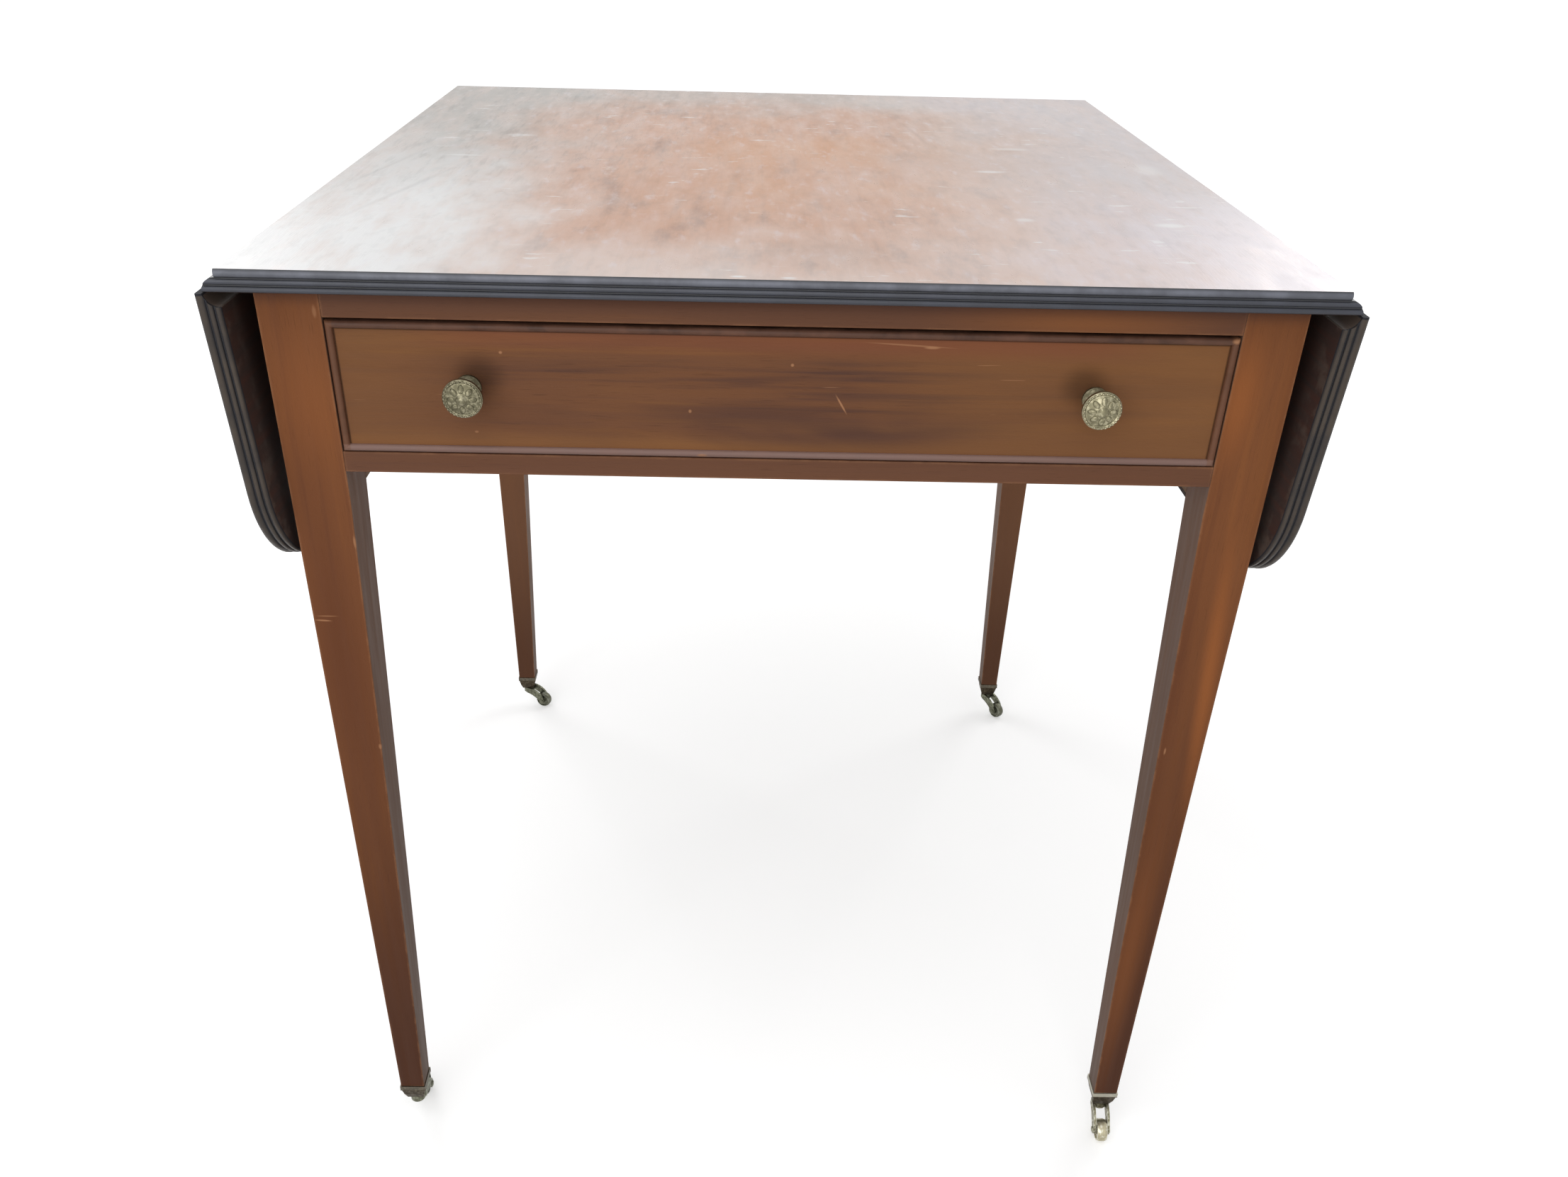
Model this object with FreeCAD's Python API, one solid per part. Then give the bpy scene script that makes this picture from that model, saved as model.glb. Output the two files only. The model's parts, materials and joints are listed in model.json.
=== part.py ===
import FreeCAD, Part
import math
import os
from FreeCAD import Vector

# Pembroke table: a fixed top with two drop leaves on rule joints, a drawer in one end, four tapered legs on
# brass casters, and a swinging fly bracket behind each leaf. Millimetres and degrees, +Z up, drawer to -Y.

# Driving dimensions: top and leaves
height = 724.0
top_width = 624.0          # between the upright steps of the two rule joints
top_depth = 658.0
top_thickness = 13.0
joint_step = 4.7           # upright step above the round of the rule joint
joint_radius = 8.0
joint_gap = 0.6            # running gap all round the rule joint
leaf_reach = 186.0         # from the hinge pin to the leaf's free edge
leaf_corner = 64.0
leaf_hang = 3.0            # how far a hanging leaf leans in under its own weight
upper_reed = 4.85
middle_reed = 3.2
reed_quirk = 0.7           # flat groove between two reeds
reed_depth = 1.3

# Driving dimensions: legs and rails
leg_inset = 14.0           # legs in from the steps of the rule joints
leg_size = 36.0
foot_size = 19.0
overhang = 15.0            # of the top over the legs, front and back
apron_height = 112.5       # front rails and back apron
upper_rail_height = 17.5
upper_rail_depth = 30.0
lower_rail_height = 13.2
side_rail_height = 133.0
side_rail_thickness = 12.0
back_apron_thickness = 20.0
back_apron_set = 1.0       # apron behind the back faces of the legs
tenon_length = 18.0
side_tenon_length = 15.0
tenon_thickness = 10.0
tenon_set = 10.0           # from the front of a leg to the middle of a rail's tenon
tenon_shoulder = 2.0       # around the lower rail's and the side rails' tenons
tall_tenon_shoulder = 10.0
dovetail_neck = 14.0
dovetail_end = 20.0
dovetail_thickness = 8.0
glue_block = 16.0
glue_block_length = 50.0
glue_block_pitch = 160.0

# Driving dimensions: fly brackets
fly_thickness = 16.0
bracket_length = 170.0     # from the knuckle pin to the tip
bracket_tip_height = 46.0
bracket_tip_bevel = 8.0
ogee_bow = 5.0             # of the two curves in a bracket's lower edge
bracket_gap = 1.0
bracket_top_gap = 0.5
knuckle_count = 5
knuckle_gap = 0.4          # between neighbouring fingers
knuckle_relief = 0.6       # round a barrel in the opposite shoulder
knuckle_pin_radius = 2.5

# Driving dimensions: rule-joint hinges and screws
hinge_spread = 230.0       # from the middle hinge to an outer one
hinge_width = 32.0
hinge_plate = 1.5
hinge_top_length = 38.0
hinge_leaf_length = 60.0
hinge_barrel_length = 12.0
barrel_radius = 2.3
hinge_pin_radius = 1.2
hinge_relief = 0.6
screw_head_radius = 3.2
screw_shank_radius = 1.6
plate_screw_length = 9.0
plate_screw_pitch = 18.0   # across a hinge plate
plate_screw_set = 9.0      # from a plate's far end
top_screw_length = 26.0
top_screw_pitch = 200.0
screw_head_depth = 1.4

# Driving dimensions: drawer
bead_width = 4.2
bead_proud = 2.5
bead_rebate = 6.0
bead_side_gap = 1.0
bead_top_gap = 1.6
bead_bottom_gap = 0.8
drawer_set = 1.0           # drawer face behind the legs' front faces
drawer_front_thickness = 18.0
drawer_back_room = 106.0   # behind the drawer, up to the back apron
drawer_side_thickness = 9.0
drawer_side_drop = 4.0     # top of a drawer side below the upper rail
drawer_run_gap = 0.3
drawer_back_thickness = 8.0
drawer_back_drop = 4.0
drawer_bottom_thickness = 6.0
drawer_bottom_rise = 8.0
drawer_groove = 5.0
tail_count = 3
tail_length = 11.0
tail_tip = 19.0
tail_base = 14.0
runner_width = 20.0
stop_size = (24.0, 12.0, 4.0)
stop_spread = 120.0
stop_gap = 0.3

# Driving dimensions: knobs
knob_inset = 78.0          # knobs in from the ends of the drawer front
knob_rise = 1.5            # above the middle of the drawer
knob_radius = 11.5
knob_base_radius = 7.5
knob_base_height = 2.0
knob_neck_radius = 5.2
knob_neck_start = 5.0
knob_neck_end = 9.5
knob_flare_radius = 10.4   # where the underside turns out to the rim
knob_flare_height = 15.8
knob_edge_height = 17.5
knob_edge_thickness = 2.0
knob_bead_width = 2.0      # raised rim round the face
knob_bead_height = 1.0
knob_bead_step = 0.6       # ring below the crest of the bead
knob_ring_rise = 2.4       # of the dished ring towards the middle
knob_boss_radius = 3.4
knob_boss_dome = 1.7
knob_stud_radius = 2.0
knob_nut_across = 8.0
knob_nut_height = 3.0
knob_stud_end = 1.0        # of the stud past its nut

# Driving dimensions: casters
caster_height = 42.0       # floor to the top of the cup
cup_proud = 0.75
cup_wall = 1.5
cup_height = 17.0
cup_collar = 4.5           # straight band round the top of the cup
cup_collar_step = 0.6
cup_waist_size = 16.6
cup_waist_rise = 5.5       # of the waist above the cup's underside
cup_foot_size = 13.0
cup_floor = 3.0
cup_rivet_room = 3.0
wheel_radius = 9.0
wheel_width = 8.0
wheel_crown = 0.8
wheel_tread = 4.0          # flat of the tread between its crowned edges
wheel_dish = 1.0
wheel_hub_radius = 3.6
caster_trail = 20.0
fork_boss_radius = 6.0
fork_boss_height = 6.5
fork_gap = 0.5             # fork under the cup
fork_wheel_gap = 0.6
horn_thickness = 2.2
horn_end_radius = 3.4
horn_bow = 3.6             # of a horn's upper curve
horn_hollow = 2.2          # of its lower curve
swivel_radius = 2.5
swivel_head_radius = 4.0
swivel_head_height = 1.5
axle_radius = 1.5
axle_head_radius = 2.2
axle_head_height = 0.8
running_fit = 0.05

# Where each caster's wheel trails at rest, as a turn from +X
caster_turns = {"front_left": 92.0, "front_right": -94.0, "back_left": -20.0, "back_right": -55.0}

# Levels
top_under = height - top_thickness
pin_z = height - joint_step - joint_radius
plate_high = top_under + hinge_plate
rail_under = top_under - upper_rail_height
apron_under = top_under - apron_height
side_under = top_under - side_rail_height
run_level = apron_under + lower_rail_height
cup_under = caster_height - cup_height
spigot_under = cup_under + cup_floor + cup_rivet_room

# Places
pin_x = top_width / 2
half_depth = top_depth / 2
leg_out = pin_x - leg_inset
leg_in = leg_out - leg_size
leg_front = overhang - half_depth
leg_rear = leg_front + leg_size
foot_x = leg_out - foot_size / 2
foot_y = -leg_front - foot_size / 2
apron_back = -leg_front - back_apron_set
apron_inner = apron_back - back_apron_thickness
fly_in = leg_in + side_rail_thickness
fly_out = fly_in + fly_thickness
fly_middle = (fly_in + fly_out) / 2
knuckle_y = -bracket_length / 2
bead_x = leg_in - bead_side_gap
bead_low = run_level + bead_bottom_gap
bead_high = rail_under - bead_top_gap
drawer_face = leg_front + drawer_set
drawer_inner = drawer_face + drawer_front_thickness
drawer_end = apron_inner - drawer_back_room
side_low = run_level + drawer_run_gap
side_high = rail_under - drawer_side_drop
bottom_low = side_low + drawer_bottom_rise
bottom_high = bottom_low + drawer_bottom_thickness
knob_spread = bead_x - knob_inset
knob_z = (bead_low + bead_high) / 2 + knob_rise
knob_rim = knob_edge_height + knob_edge_thickness
knob_ring_low = knob_rim + knob_bead_height - knob_bead_step
knob_boss_low = knob_ring_low + knob_ring_rise
knob_front = drawer_face - knob_boss_low - knob_boss_dome

# The origin is on the floor, under the middle of the overall box, which the knobs lengthen to the front.
origin_shift = (-knob_front - half_depth) / 2

hinge_places = (-hinge_spread, 0.0, hinge_spread)
corners = {"front_left": (-1, -1), "front_right": (1, -1), "back_left": (-1, 1), "back_right": (1, 1)}


def xz(u, v):
    return Vector(u, 0, v)


def yz(u, v):
    return Vector(0, u, v)


def xy(u, v):
    return Vector(u, v, 0)


def yx(u, v):
    return Vector(v, u, 0)


def block(x0, x1, y0, y1, z0, z1):
    return Part.makeBox(x1 - x0, y1 - y0, z1 - z0, Vector(x0, y0, z0))


def cylinder(radius, start, end):
    along = end - start
    return Part.makeCylinder(radius, along.Length, start, along)


def outline(plane, start, *steps):
    """A face from points in a plane; a step of two points is an arc through the first to the second."""
    edges = []
    here = start
    for step in steps + (start,):
        if isinstance(step[0], tuple):
            edges.append(Part.Arc(plane(*here), plane(*step[0]), plane(*step[1])).toShape())
            here = step[1]
        else:
            edges.append(Part.LineSegment(plane(*here), plane(*step)).toShape())
            here = step
    return Part.Face(Part.Wire(edges))


def bowed(start, end, bow):
    """An arc step to end, whose middle stands off the straight line by bow, to its left."""
    across = end[0] - start[0]
    along = end[1] - start[1]
    reach = math.hypot(across, along)
    middle = ((start[0] + end[0]) / 2 - along / reach * bow, (start[1] + end[1]) / 2 + across / reach * bow)
    return middle, end


def moved(shape, x=0.0, y=0.0, z=0.0):
    copy = shape.copy()
    copy.translate(Vector(x, y, z))
    return copy


def turned(shape, about, axis, angle):
    copy = shape.copy()
    copy.rotate(about, axis, angle)
    return copy


def mirror_x(shape):
    return shape.mirror(Vector(0, 0, 0), Vector(1, 0, 0))


def mirror_y(shape):
    return shape.mirror(Vector(0, 0, 0), Vector(0, 1, 0))


def joined(first, *others):
    return first.fuse(list(others)).removeSplitter()


def for_side(side, shape):
    """A piece drawn on the right (+X) side, or its mirror image for the left."""
    return shape if side == "right" else mirror_x(shape)


def wood_screw(length):
    """A countersunk screw that points up, its head flush at the origin."""
    head = Part.makeCone(screw_head_radius, screw_shank_radius, screw_head_depth)
    shank = Part.makeCylinder(screw_shank_radius, length)
    return joined(shank, head)


# Top and leaves

def reeded_section(plane, reach):
    """Half of a board's section: flat at 0, three reeds standing out to reach."""
    groove = reach - reed_depth
    levels = [height, height - upper_reed]
    levels.append(levels[-1] - reed_quirk)
    levels.append(levels[-1] - middle_reed)
    levels.append(levels[-1] - reed_quirk)
    levels.append(top_under)
    steps = [(groove, levels[0])]
    for upper, lower in zip(levels[0::2], levels[1::2]):
        if steps[-1] != (groove, upper):
            steps.append((groove, upper))
        steps.append(((reach, (upper + lower) / 2), (groove, lower)))
    return outline(plane, (0.0, height), *steps, (0.0, top_under))


def round_half(gap):
    """Points of the rule joint's quarter round, at a gap outside the top's own curve."""
    radius = joint_radius + gap
    rise = math.sqrt(radius * radius - gap * gap)
    middle = radius * math.sqrt(0.5)
    return (pin_x + gap, pin_z + rise), (pin_x + middle, pin_z + middle), (pin_x + radius, pin_z)


def hinge_mortises(y):
    """What a hinge takes out of the top: its plate's bed, the moving plate's room, the barrel's groove."""
    half = hinge_width / 2
    room = half + hinge_relief
    barrel_room = barrel_radius + hinge_relief
    bed = block(pin_x - hinge_top_length, pin_x, y - half, y + half, top_under, plate_high)
    swing = block(pin_x - barrel_room, pin_x + joint_radius + hinge_relief, y - room, y + room, top_under,
                  plate_high + hinge_relief)
    groove = block(pin_x - barrel_room, pin_x + barrel_room, y - room, y + room, top_under,
                   pin_z + barrel_room)
    return [bed, swing, groove]


def make_top():
    board = reeded_section(yz, half_depth).extrude(Vector(top_width * 2, 0, 0))
    board = moved(board, x=-top_width)
    board = joined(board, mirror_y(board))
    shoulder, middle, foot = round_half(0.0)
    half = outline(xz, (0.0, height), (pin_x, height), shoulder, (middle, foot), (foot[0], top_under),
                   (0.0, top_under))
    half = moved(half.extrude(Vector(0, top_depth * 2, 0)), y=-top_depth)
    top = board.common(joined(half, mirror_x(half)))
    cuts = []
    for y in hinge_places:
        cuts += hinge_mortises(y)
    cuts += [mirror_x(cut) for cut in cuts]
    return top.cut(cuts)


def make_leaf():
    """The right leaf, drawn raised, level with the top."""
    straight_x = leaf_reach - leaf_corner
    straight_y = half_depth - leaf_corner
    middle = reeded_section(xz, leaf_reach).extrude(Vector(0, straight_y * 2, 0))
    middle = moved(middle, x=pin_x, y=-straight_y)
    end = moved(reeded_section(yz, leaf_corner).extrude(Vector(straight_x, 0, 0)), x=pin_x, y=straight_y)
    corner = reeded_section(xz, leaf_corner).revolve(Vector(0, 0, 0), Vector(0, 0, 1), 90)
    corner = moved(corner, x=pin_x + straight_x, y=straight_y)
    board = joined(middle, end, corner, mirror_y(end), mirror_y(corner))
    shoulder, mid, foot = round_half(joint_gap)
    beyond = pin_x + leaf_reach + leaf_corner
    hollow = outline(xz, (beyond, height), (shoulder[0], height), shoulder, (mid, foot), (foot[0], top_under),
                     (beyond, top_under))
    hollow = moved(hollow.extrude(Vector(0, top_depth * 2, 0)), y=-top_depth)
    leaf = board.common(hollow)
    half = hinge_width / 2
    beds = [block(pin_x, pin_x + hinge_leaf_length, y - half, y + half, top_under, plate_high)
            for y in hinge_places]
    return leaf.cut(beds)


def hung(shape):
    """A piece of the right leaf, turned from level down to where the leaf hangs."""
    return turned(shape, Vector(pin_x, 0, pin_z), Vector(0, 1, 0), 90.0 + leaf_hang)


# Rule-joint hinges

def barrel(y0, y1, radius):
    return cylinder(radius, Vector(pin_x, y0, pin_z), Vector(pin_x, y1, pin_z))


def top_screw_places(y):
    x = pin_x - hinge_top_length + plate_screw_set
    return [(x, y - plate_screw_pitch / 2), (x, y + plate_screw_pitch / 2)]


def leaf_screw_places(y):
    far = pin_x + hinge_leaf_length - plate_screw_set
    return [(far, y - plate_screw_pitch / 2), (far, y + plate_screw_pitch / 2)]


def plate_screws(places):
    screw = wood_screw(plate_screw_length)
    return [moved(screw, x, y, top_under) for x, y in places]


def make_top_plate(y):
    """Fixed half of a hinge, with the two outer barrels."""
    half = hinge_width / 2
    inner = hinge_barrel_length / 2 + knuckle_gap
    room = barrel_radius + hinge_relief
    plate = block(pin_x - hinge_top_length, pin_x, y - half, y + half, top_under, plate_high)
    notch = block(pin_x - room, pin_x + room, y - inner, y + inner, top_under, plate_high)
    barrels = [barrel(y - half, y - inner, barrel_radius), barrel(y + inner, y + half, barrel_radius)]
    plate = joined(plate.cut(notch), *barrels)
    return plate.cut([barrel(y - half, y + half, hinge_pin_radius)] + plate_screws(top_screw_places(y)))


def make_leaf_plate(y):
    """Moving half of a hinge, drawn level, with the middle barrel."""
    half = hinge_width / 2
    inner = hinge_barrel_length / 2
    room = barrel_radius + hinge_relief
    plate = block(pin_x, pin_x + hinge_leaf_length, y - half, y + half, top_under, plate_high)
    notches = [block(pin_x, pin_x + room, y - half, y - inner, top_under, plate_high),
               block(pin_x, pin_x + room, y + inner, y + half, top_under, plate_high)]
    plate = joined(plate.cut(notches), barrel(y - inner, y + inner, barrel_radius))
    bore = barrel(y - half, y + half, hinge_pin_radius + running_fit)
    return plate.cut([bore] + plate_screws(leaf_screw_places(y)))


def make_hinge_pin(y):
    return barrel(y - hinge_width / 2, y + hinge_width / 2, hinge_pin_radius)


# Legs and rails

def rectangle(x0, x1, y0, y1, z):
    return [Vector(x0, y0, z), Vector(x1, y0, z), Vector(x1, y1, z), Vector(x0, y1, z)]


def tapered(low, high):
    """A solid with flat sides between two level rectangles."""
    loops = [low, high]
    for i in range(4):
        loops.append([low[i - 1], low[i], high[i], high[i - 1]])
    faces = [Part.Face(Part.makePolygon(loop + loop[:1])) for loop in loops]
    return Part.Solid(Part.Shell(faces))


def make_leg():
    """The front right leg, square down to the side rails and tapered on its inner faces below them."""
    square = block(leg_in, leg_out, leg_front, leg_rear, side_under, top_under)
    foot = rectangle(leg_out - foot_size, leg_out, leg_front, leg_front + foot_size, caster_height)
    knee = rectangle(leg_in, leg_out, leg_front, leg_rear, side_under)
    half = cup_foot_size / 2 - cup_wall
    spigot = block(foot_x - half, foot_x + half, -foot_y - half, -foot_y + half, spigot_under, caster_height)
    return joined(square, tapered(foot, knee), spigot)


def make_lower_rail():
    rail = block(-leg_in, leg_in, leg_front, leg_rear, apron_under, run_level)
    middle = leg_front + tenon_set
    half = tenon_thickness / 2
    tenon = block(leg_in, leg_in + tenon_length, middle - half, middle + half, apron_under + tenon_shoulder,
                  run_level - tenon_shoulder)
    return joined(rail, tenon, mirror_x(tenon))


def make_upper_rail():
    rail = block(-leg_in, leg_in, leg_front, leg_front + upper_rail_depth, rail_under, top_under)
    middle = leg_front + upper_rail_depth / 2
    neck = dovetail_neck / 2
    end = dovetail_end / 2
    far = leg_in + tenon_length
    tail = outline(xy, (leg_in, middle - neck), (far, middle - end), (far, middle + end),
                   (leg_in, middle + neck))
    tail = moved(tail.extrude(Vector(0, 0, dovetail_thickness)), z=top_under - dovetail_thickness)
    return joined(rail, tail, mirror_x(tail))


def make_back_apron():
    apron = block(-leg_in, leg_in, apron_inner, apron_back, apron_under, top_under)
    middle = (apron_inner + apron_back) / 2
    half = tenon_thickness / 2
    tenon = block(leg_in, leg_in + tenon_length, middle - half, middle + half,
                  apron_under + tall_tenon_shoulder, top_under - tall_tenon_shoulder)
    return joined(apron, tenon, mirror_x(tenon))


def make_side_rail():
    rail = block(leg_in, fly_in, leg_rear, -leg_rear, side_under, top_under)
    end = side_tenon_length - leg_rear
    tenon = block(leg_in + tenon_shoulder, fly_in - tenon_shoulder, -end, end,
                  side_under + tall_tenon_shoulder, top_under - tall_tenon_shoulder)
    return joined(rail, tenon)


def make_runner():
    return block(leg_in - runner_width, leg_in, leg_rear, apron_inner, apron_under, run_level)


def kicker_screws():
    screw = wood_screw(top_screw_length)
    x = leg_in - runner_width / 2
    return [moved(screw, x, y, rail_under) for y in (-top_screw_pitch, 0.0, top_screw_pitch)]


def make_kicker():
    front = leg_front + upper_rail_depth
    strip = block(leg_in - runner_width, leg_in, front, apron_inner, rail_under, top_under)
    return strip.cut(kicker_screws())


def make_stops():
    length, depth, rise = stop_size
    front = drawer_inner + stop_gap
    left = stop_spread - length / 2
    stop = block(left, left + length, front, front + depth, run_level, run_level + rise)
    return Part.makeCompound([stop, mirror_x(stop)])


def make_glue_blocks():
    corner = outline(yz, (apron_inner, top_under), (apron_inner - glue_block, top_under),
                     (apron_inner, top_under - glue_block))
    prism = moved(corner.extrude(Vector(glue_block_length, 0, 0)), x=-glue_block_length / 2)
    return Part.makeCompound([moved(prism, x=x) for x in (-glue_block_pitch, 0.0, glue_block_pitch)])


# Fly brackets, with a wooden knuckle joint

def knuckle_fingers(first, gap):
    """Lower and upper level of every second finger, each drawn in by half the gap."""
    pitch = (top_under - bracket_top_gap - side_under) / knuckle_count
    return [(side_under + pitch * i + gap / 2, side_under + pitch * (i + 1) - gap / 2)
            for i in range(first, knuckle_count, 2)]


def finger_barrels(first, radius, gap):
    return [cylinder(radius, Vector(fly_middle, knuckle_y, low), Vector(fly_middle, knuckle_y, high))
            for low, high in knuckle_fingers(first, gap)]


def knuckle_bore(extra):
    return cylinder(knuckle_pin_radius + extra, Vector(fly_middle, knuckle_y, side_under),
                    Vector(fly_middle, knuckle_y, top_under))


def make_knuckle_pin():
    return cylinder(knuckle_pin_radius, Vector(fly_middle, knuckle_y, side_under),
                    Vector(fly_middle, knuckle_y, top_under - bracket_top_gap))


def make_fly_rail():
    """Fixed outer rail from the front leg to the knuckle, with the odd fingers."""
    board = block(fly_in, fly_out, leg_rear, knuckle_y, side_under, top_under)
    rooms = finger_barrels(1, fly_thickness / 2 + knuckle_relief, -knuckle_gap)
    board = joined(board.cut(rooms), *finger_barrels(0, fly_thickness / 2, knuckle_gap))
    return board.cut(knuckle_bore(0.0))


def make_fly_bracket():
    """Swinging bracket: full height at the knuckle, an ogee lower edge, a bevelled tip."""
    tip = knuckle_y + bracket_length
    top = top_under - bracket_top_gap
    tip_under = top - bracket_tip_height
    rise = tip_under - side_under
    third = bracket_length / 3
    turn = (knuckle_y + 2 * third, side_under + rise / 2)
    foot = (knuckle_y + third, side_under)
    side = outline(yz, (knuckle_y, top), (tip, top), (tip, tip_under),
                   bowed((tip, tip_under), turn, ogee_bow), bowed(turn, foot, -ogee_bow),
                   (knuckle_y, side_under))
    board = moved(side.extrude(Vector(fly_thickness, 0, 0)), x=fly_in)
    bevel = outline(xy, (fly_out, tip), (fly_in, tip), (fly_in, tip - bracket_tip_bevel))
    board = board.cut(bevel.extrude(Vector(0, 0, height)))
    rooms = finger_barrels(0, fly_thickness / 2 + knuckle_relief, -knuckle_gap)
    board = joined(board.cut(rooms), *finger_barrels(1, fly_thickness / 2, knuckle_gap))
    return board.cut(knuckle_bore(running_fit))


def make_fly_rail_end():
    """Fixed outer rail past the bracket's tip, bevelled to match it."""
    start = knuckle_y + bracket_length + bracket_gap
    near = start - bracket_tip_bevel
    board = block(fly_in, fly_out, near, -leg_rear, side_under, top_under)
    bevel = outline(xy, (fly_out, start), (fly_in, near), (fly_out, near))
    return board.cut(bevel.extrude(Vector(0, 0, height)))


# Drawer

def make_drawer_bottom():
    inner = bead_x - drawer_side_thickness
    wide = inner + drawer_groove
    panel = block(-wide, wide, drawer_inner, drawer_end, bottom_low, bottom_high)
    tongue = block(-inner, inner, drawer_inner - drawer_groove, drawer_inner, bottom_low, bottom_high)
    return joined(panel, tongue)


def make_drawer_back():
    housed = bead_x - drawer_side_thickness + drawer_groove
    front = drawer_end - drawer_back_thickness
    return block(-housed, housed, front, drawer_end, bottom_high, side_high - drawer_back_drop)


def tails():
    """Lapped dovetails on the front end of the right drawer side."""
    pitch = (side_high - side_low) / tail_count
    far = drawer_inner - tail_length
    found = []
    for i in range(tail_count):
        middle = side_low + pitch * (i + 0.5)
        tail = outline(yz, (drawer_inner, middle - tail_base / 2), (far, middle - tail_tip / 2),
                       (far, middle + tail_tip / 2), (drawer_inner, middle + tail_base / 2))
        tail = tail.extrude(Vector(drawer_side_thickness, 0, 0))
        found.append(moved(tail, x=bead_x - drawer_side_thickness))
    return found


def make_drawer_side():
    side = block(bead_x - drawer_side_thickness, bead_x, drawer_inner, drawer_end, side_low, side_high)
    return joined(side, *tails()).cut([make_drawer_bottom(), make_drawer_back()])


def bead_frame(inset, depth):
    """A block of the drawer front's outline, drawn in by the inset, from the face back to depth."""
    wide = bead_x - inset
    return block(-wide, wide, drawer_face, drawer_face + depth, bead_low + inset, bead_high - inset)


def make_drawer_front():
    front = bead_frame(0.0, drawer_front_thickness)
    rebate = bead_frame(0.0, bead_rebate).cut(bead_frame(bead_width, bead_rebate))
    right_side = make_drawer_side()
    cuts = [rebate, right_side, mirror_x(right_side), make_drawer_bottom()]
    for side in (-1, 1):
        cuts.append(cylinder(knob_stud_radius, Vector(side * knob_spread, drawer_face, knob_z),
                             Vector(side * knob_spread, drawer_inner, knob_z)))
    return front.cut(cuts)


def bead_section(plane, low):
    """Round-nosed strip: its width from low, its depth from the rebate out to the nose."""
    radius = bead_width / 2
    back = drawer_face + bead_rebate
    nose = drawer_face - bead_proud
    high = low + bead_width
    return outline(plane, (back, low), (nose + radius, low), ((nose, low + radius), (nose + radius, high)),
                   (back, high))


def make_beads():
    """Four strips with mitred ends."""
    wide = bead_x
    tall = bead_high - bead_low
    across = moved(bead_section(yz, bead_low).extrude(Vector(2 * wide, 0, 0)), x=-wide)
    upright = bead_section(yx, wide - bead_width).extrude(Vector(0, 0, tall))
    upright = moved(upright, z=bead_low)
    mitre = outline(xz, (-wide, bead_low), (wide, bead_low), (wide - bead_width, bead_low + bead_width),
                    (bead_width - wide, bead_low + bead_width))
    mitre = moved(mitre.extrude(Vector(0, height, 0)), y=-height)
    side_mitre = outline(xz, (wide, bead_low), (wide, bead_high), (wide - bead_width, bead_high - bead_width),
                         (wide - bead_width, bead_low + bead_width))
    side_mitre = moved(side_mitre.extrude(Vector(0, height, 0)), y=-height)
    bottom = across.common(mitre)
    right = upright.common(side_mitre)
    middle = Vector(0, 0, (bead_low + bead_high) / 2)
    return {"cockbead_bottom": bottom, "cockbead_top": bottom.mirror(middle, Vector(0, 0, 1)),
            "cockbead_right": right, "cockbead_left": mirror_x(right)}


def make_knob():
    """Turned knob on the right: waisted neck, beaded rim, dished face with a boss, and a stud."""
    stud_end = -drawer_front_thickness - knob_nut_height - knob_stud_end
    crest = knob_rim + knob_bead_height
    ring_radius = knob_radius - knob_bead_width
    ball = (knob_boss_radius ** 2 + knob_boss_dome ** 2) / (2 * knob_boss_dome)
    lean = math.asin(knob_boss_radius / ball) / 2
    tip = knob_boss_low + knob_boss_dome
    boss = ((ball * math.sin(lean), tip - ball + ball * math.cos(lean)), (0.0, tip))
    profile = outline(xy, (0.0, stud_end), (knob_stud_radius, stud_end), (knob_stud_radius, 0.0),
                      (knob_base_radius, 0.0), (knob_base_radius, knob_base_height),
                      (knob_neck_radius, knob_neck_start), (knob_neck_radius, knob_neck_end),
                      (knob_flare_radius, knob_flare_height), (knob_radius, knob_edge_height),
                      (knob_radius, knob_rim), (knob_radius - knob_bead_width / 2, crest),
                      (ring_radius, knob_ring_low), (knob_boss_radius, knob_boss_low), boss)
    turned_knob = profile.revolve(Vector(0, 0, 0), Vector(0, 1, 0), 360)
    turned_knob.rotate(Vector(0, 0, 0), Vector(0, 0, 1), 180)
    return moved(turned_knob, knob_spread, drawer_face, knob_z)


def make_nut():
    side = knob_nut_across / 2 / math.cos(math.pi / 6)
    points = [(side * math.cos(math.pi / 3 * i), side * math.sin(math.pi / 3 * i)) for i in range(6)]
    nut = outline(xz, *points).extrude(Vector(0, knob_nut_height, 0))
    nut = nut.cut(cylinder(knob_stud_radius, Vector(0, 0, 0), Vector(0, knob_nut_height, 0)))
    return moved(nut, knob_spread, drawer_inner, knob_z)


# Casters, drawn about the swivel axis with the wheel trailing along +X

def centred_square(size, z):
    return rectangle(-size / 2, size / 2, -size / 2, size / 2, z)


def make_cup():
    """Square socket: a collar at the top, then drawn in twice down to the swivel."""
    outer = foot_size + 2 * cup_proud
    collar_under = caster_height - cup_collar
    collar = tapered(centred_square(outer, collar_under), centred_square(outer, caster_height))
    neck = centred_square(outer - 2 * cup_collar_step, collar_under)
    waist = centred_square(cup_waist_size, cup_under + cup_waist_rise)
    foot = centred_square(cup_foot_size, cup_under)
    shell = joined(collar, tapered(waist, neck), tapered(foot, waist))
    half = cup_foot_size / 2 - cup_wall
    socket = block(-half, half, -half, half, spigot_under, caster_height)
    room = cylinder(half, Vector(0, 0, cup_under + cup_floor), Vector(0, 0, spigot_under))
    bore = cylinder(swivel_radius + running_fit, Vector(0, 0, cup_under), Vector(0, 0, cup_under + cup_floor))
    return shell.cut([socket, room, bore])


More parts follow.
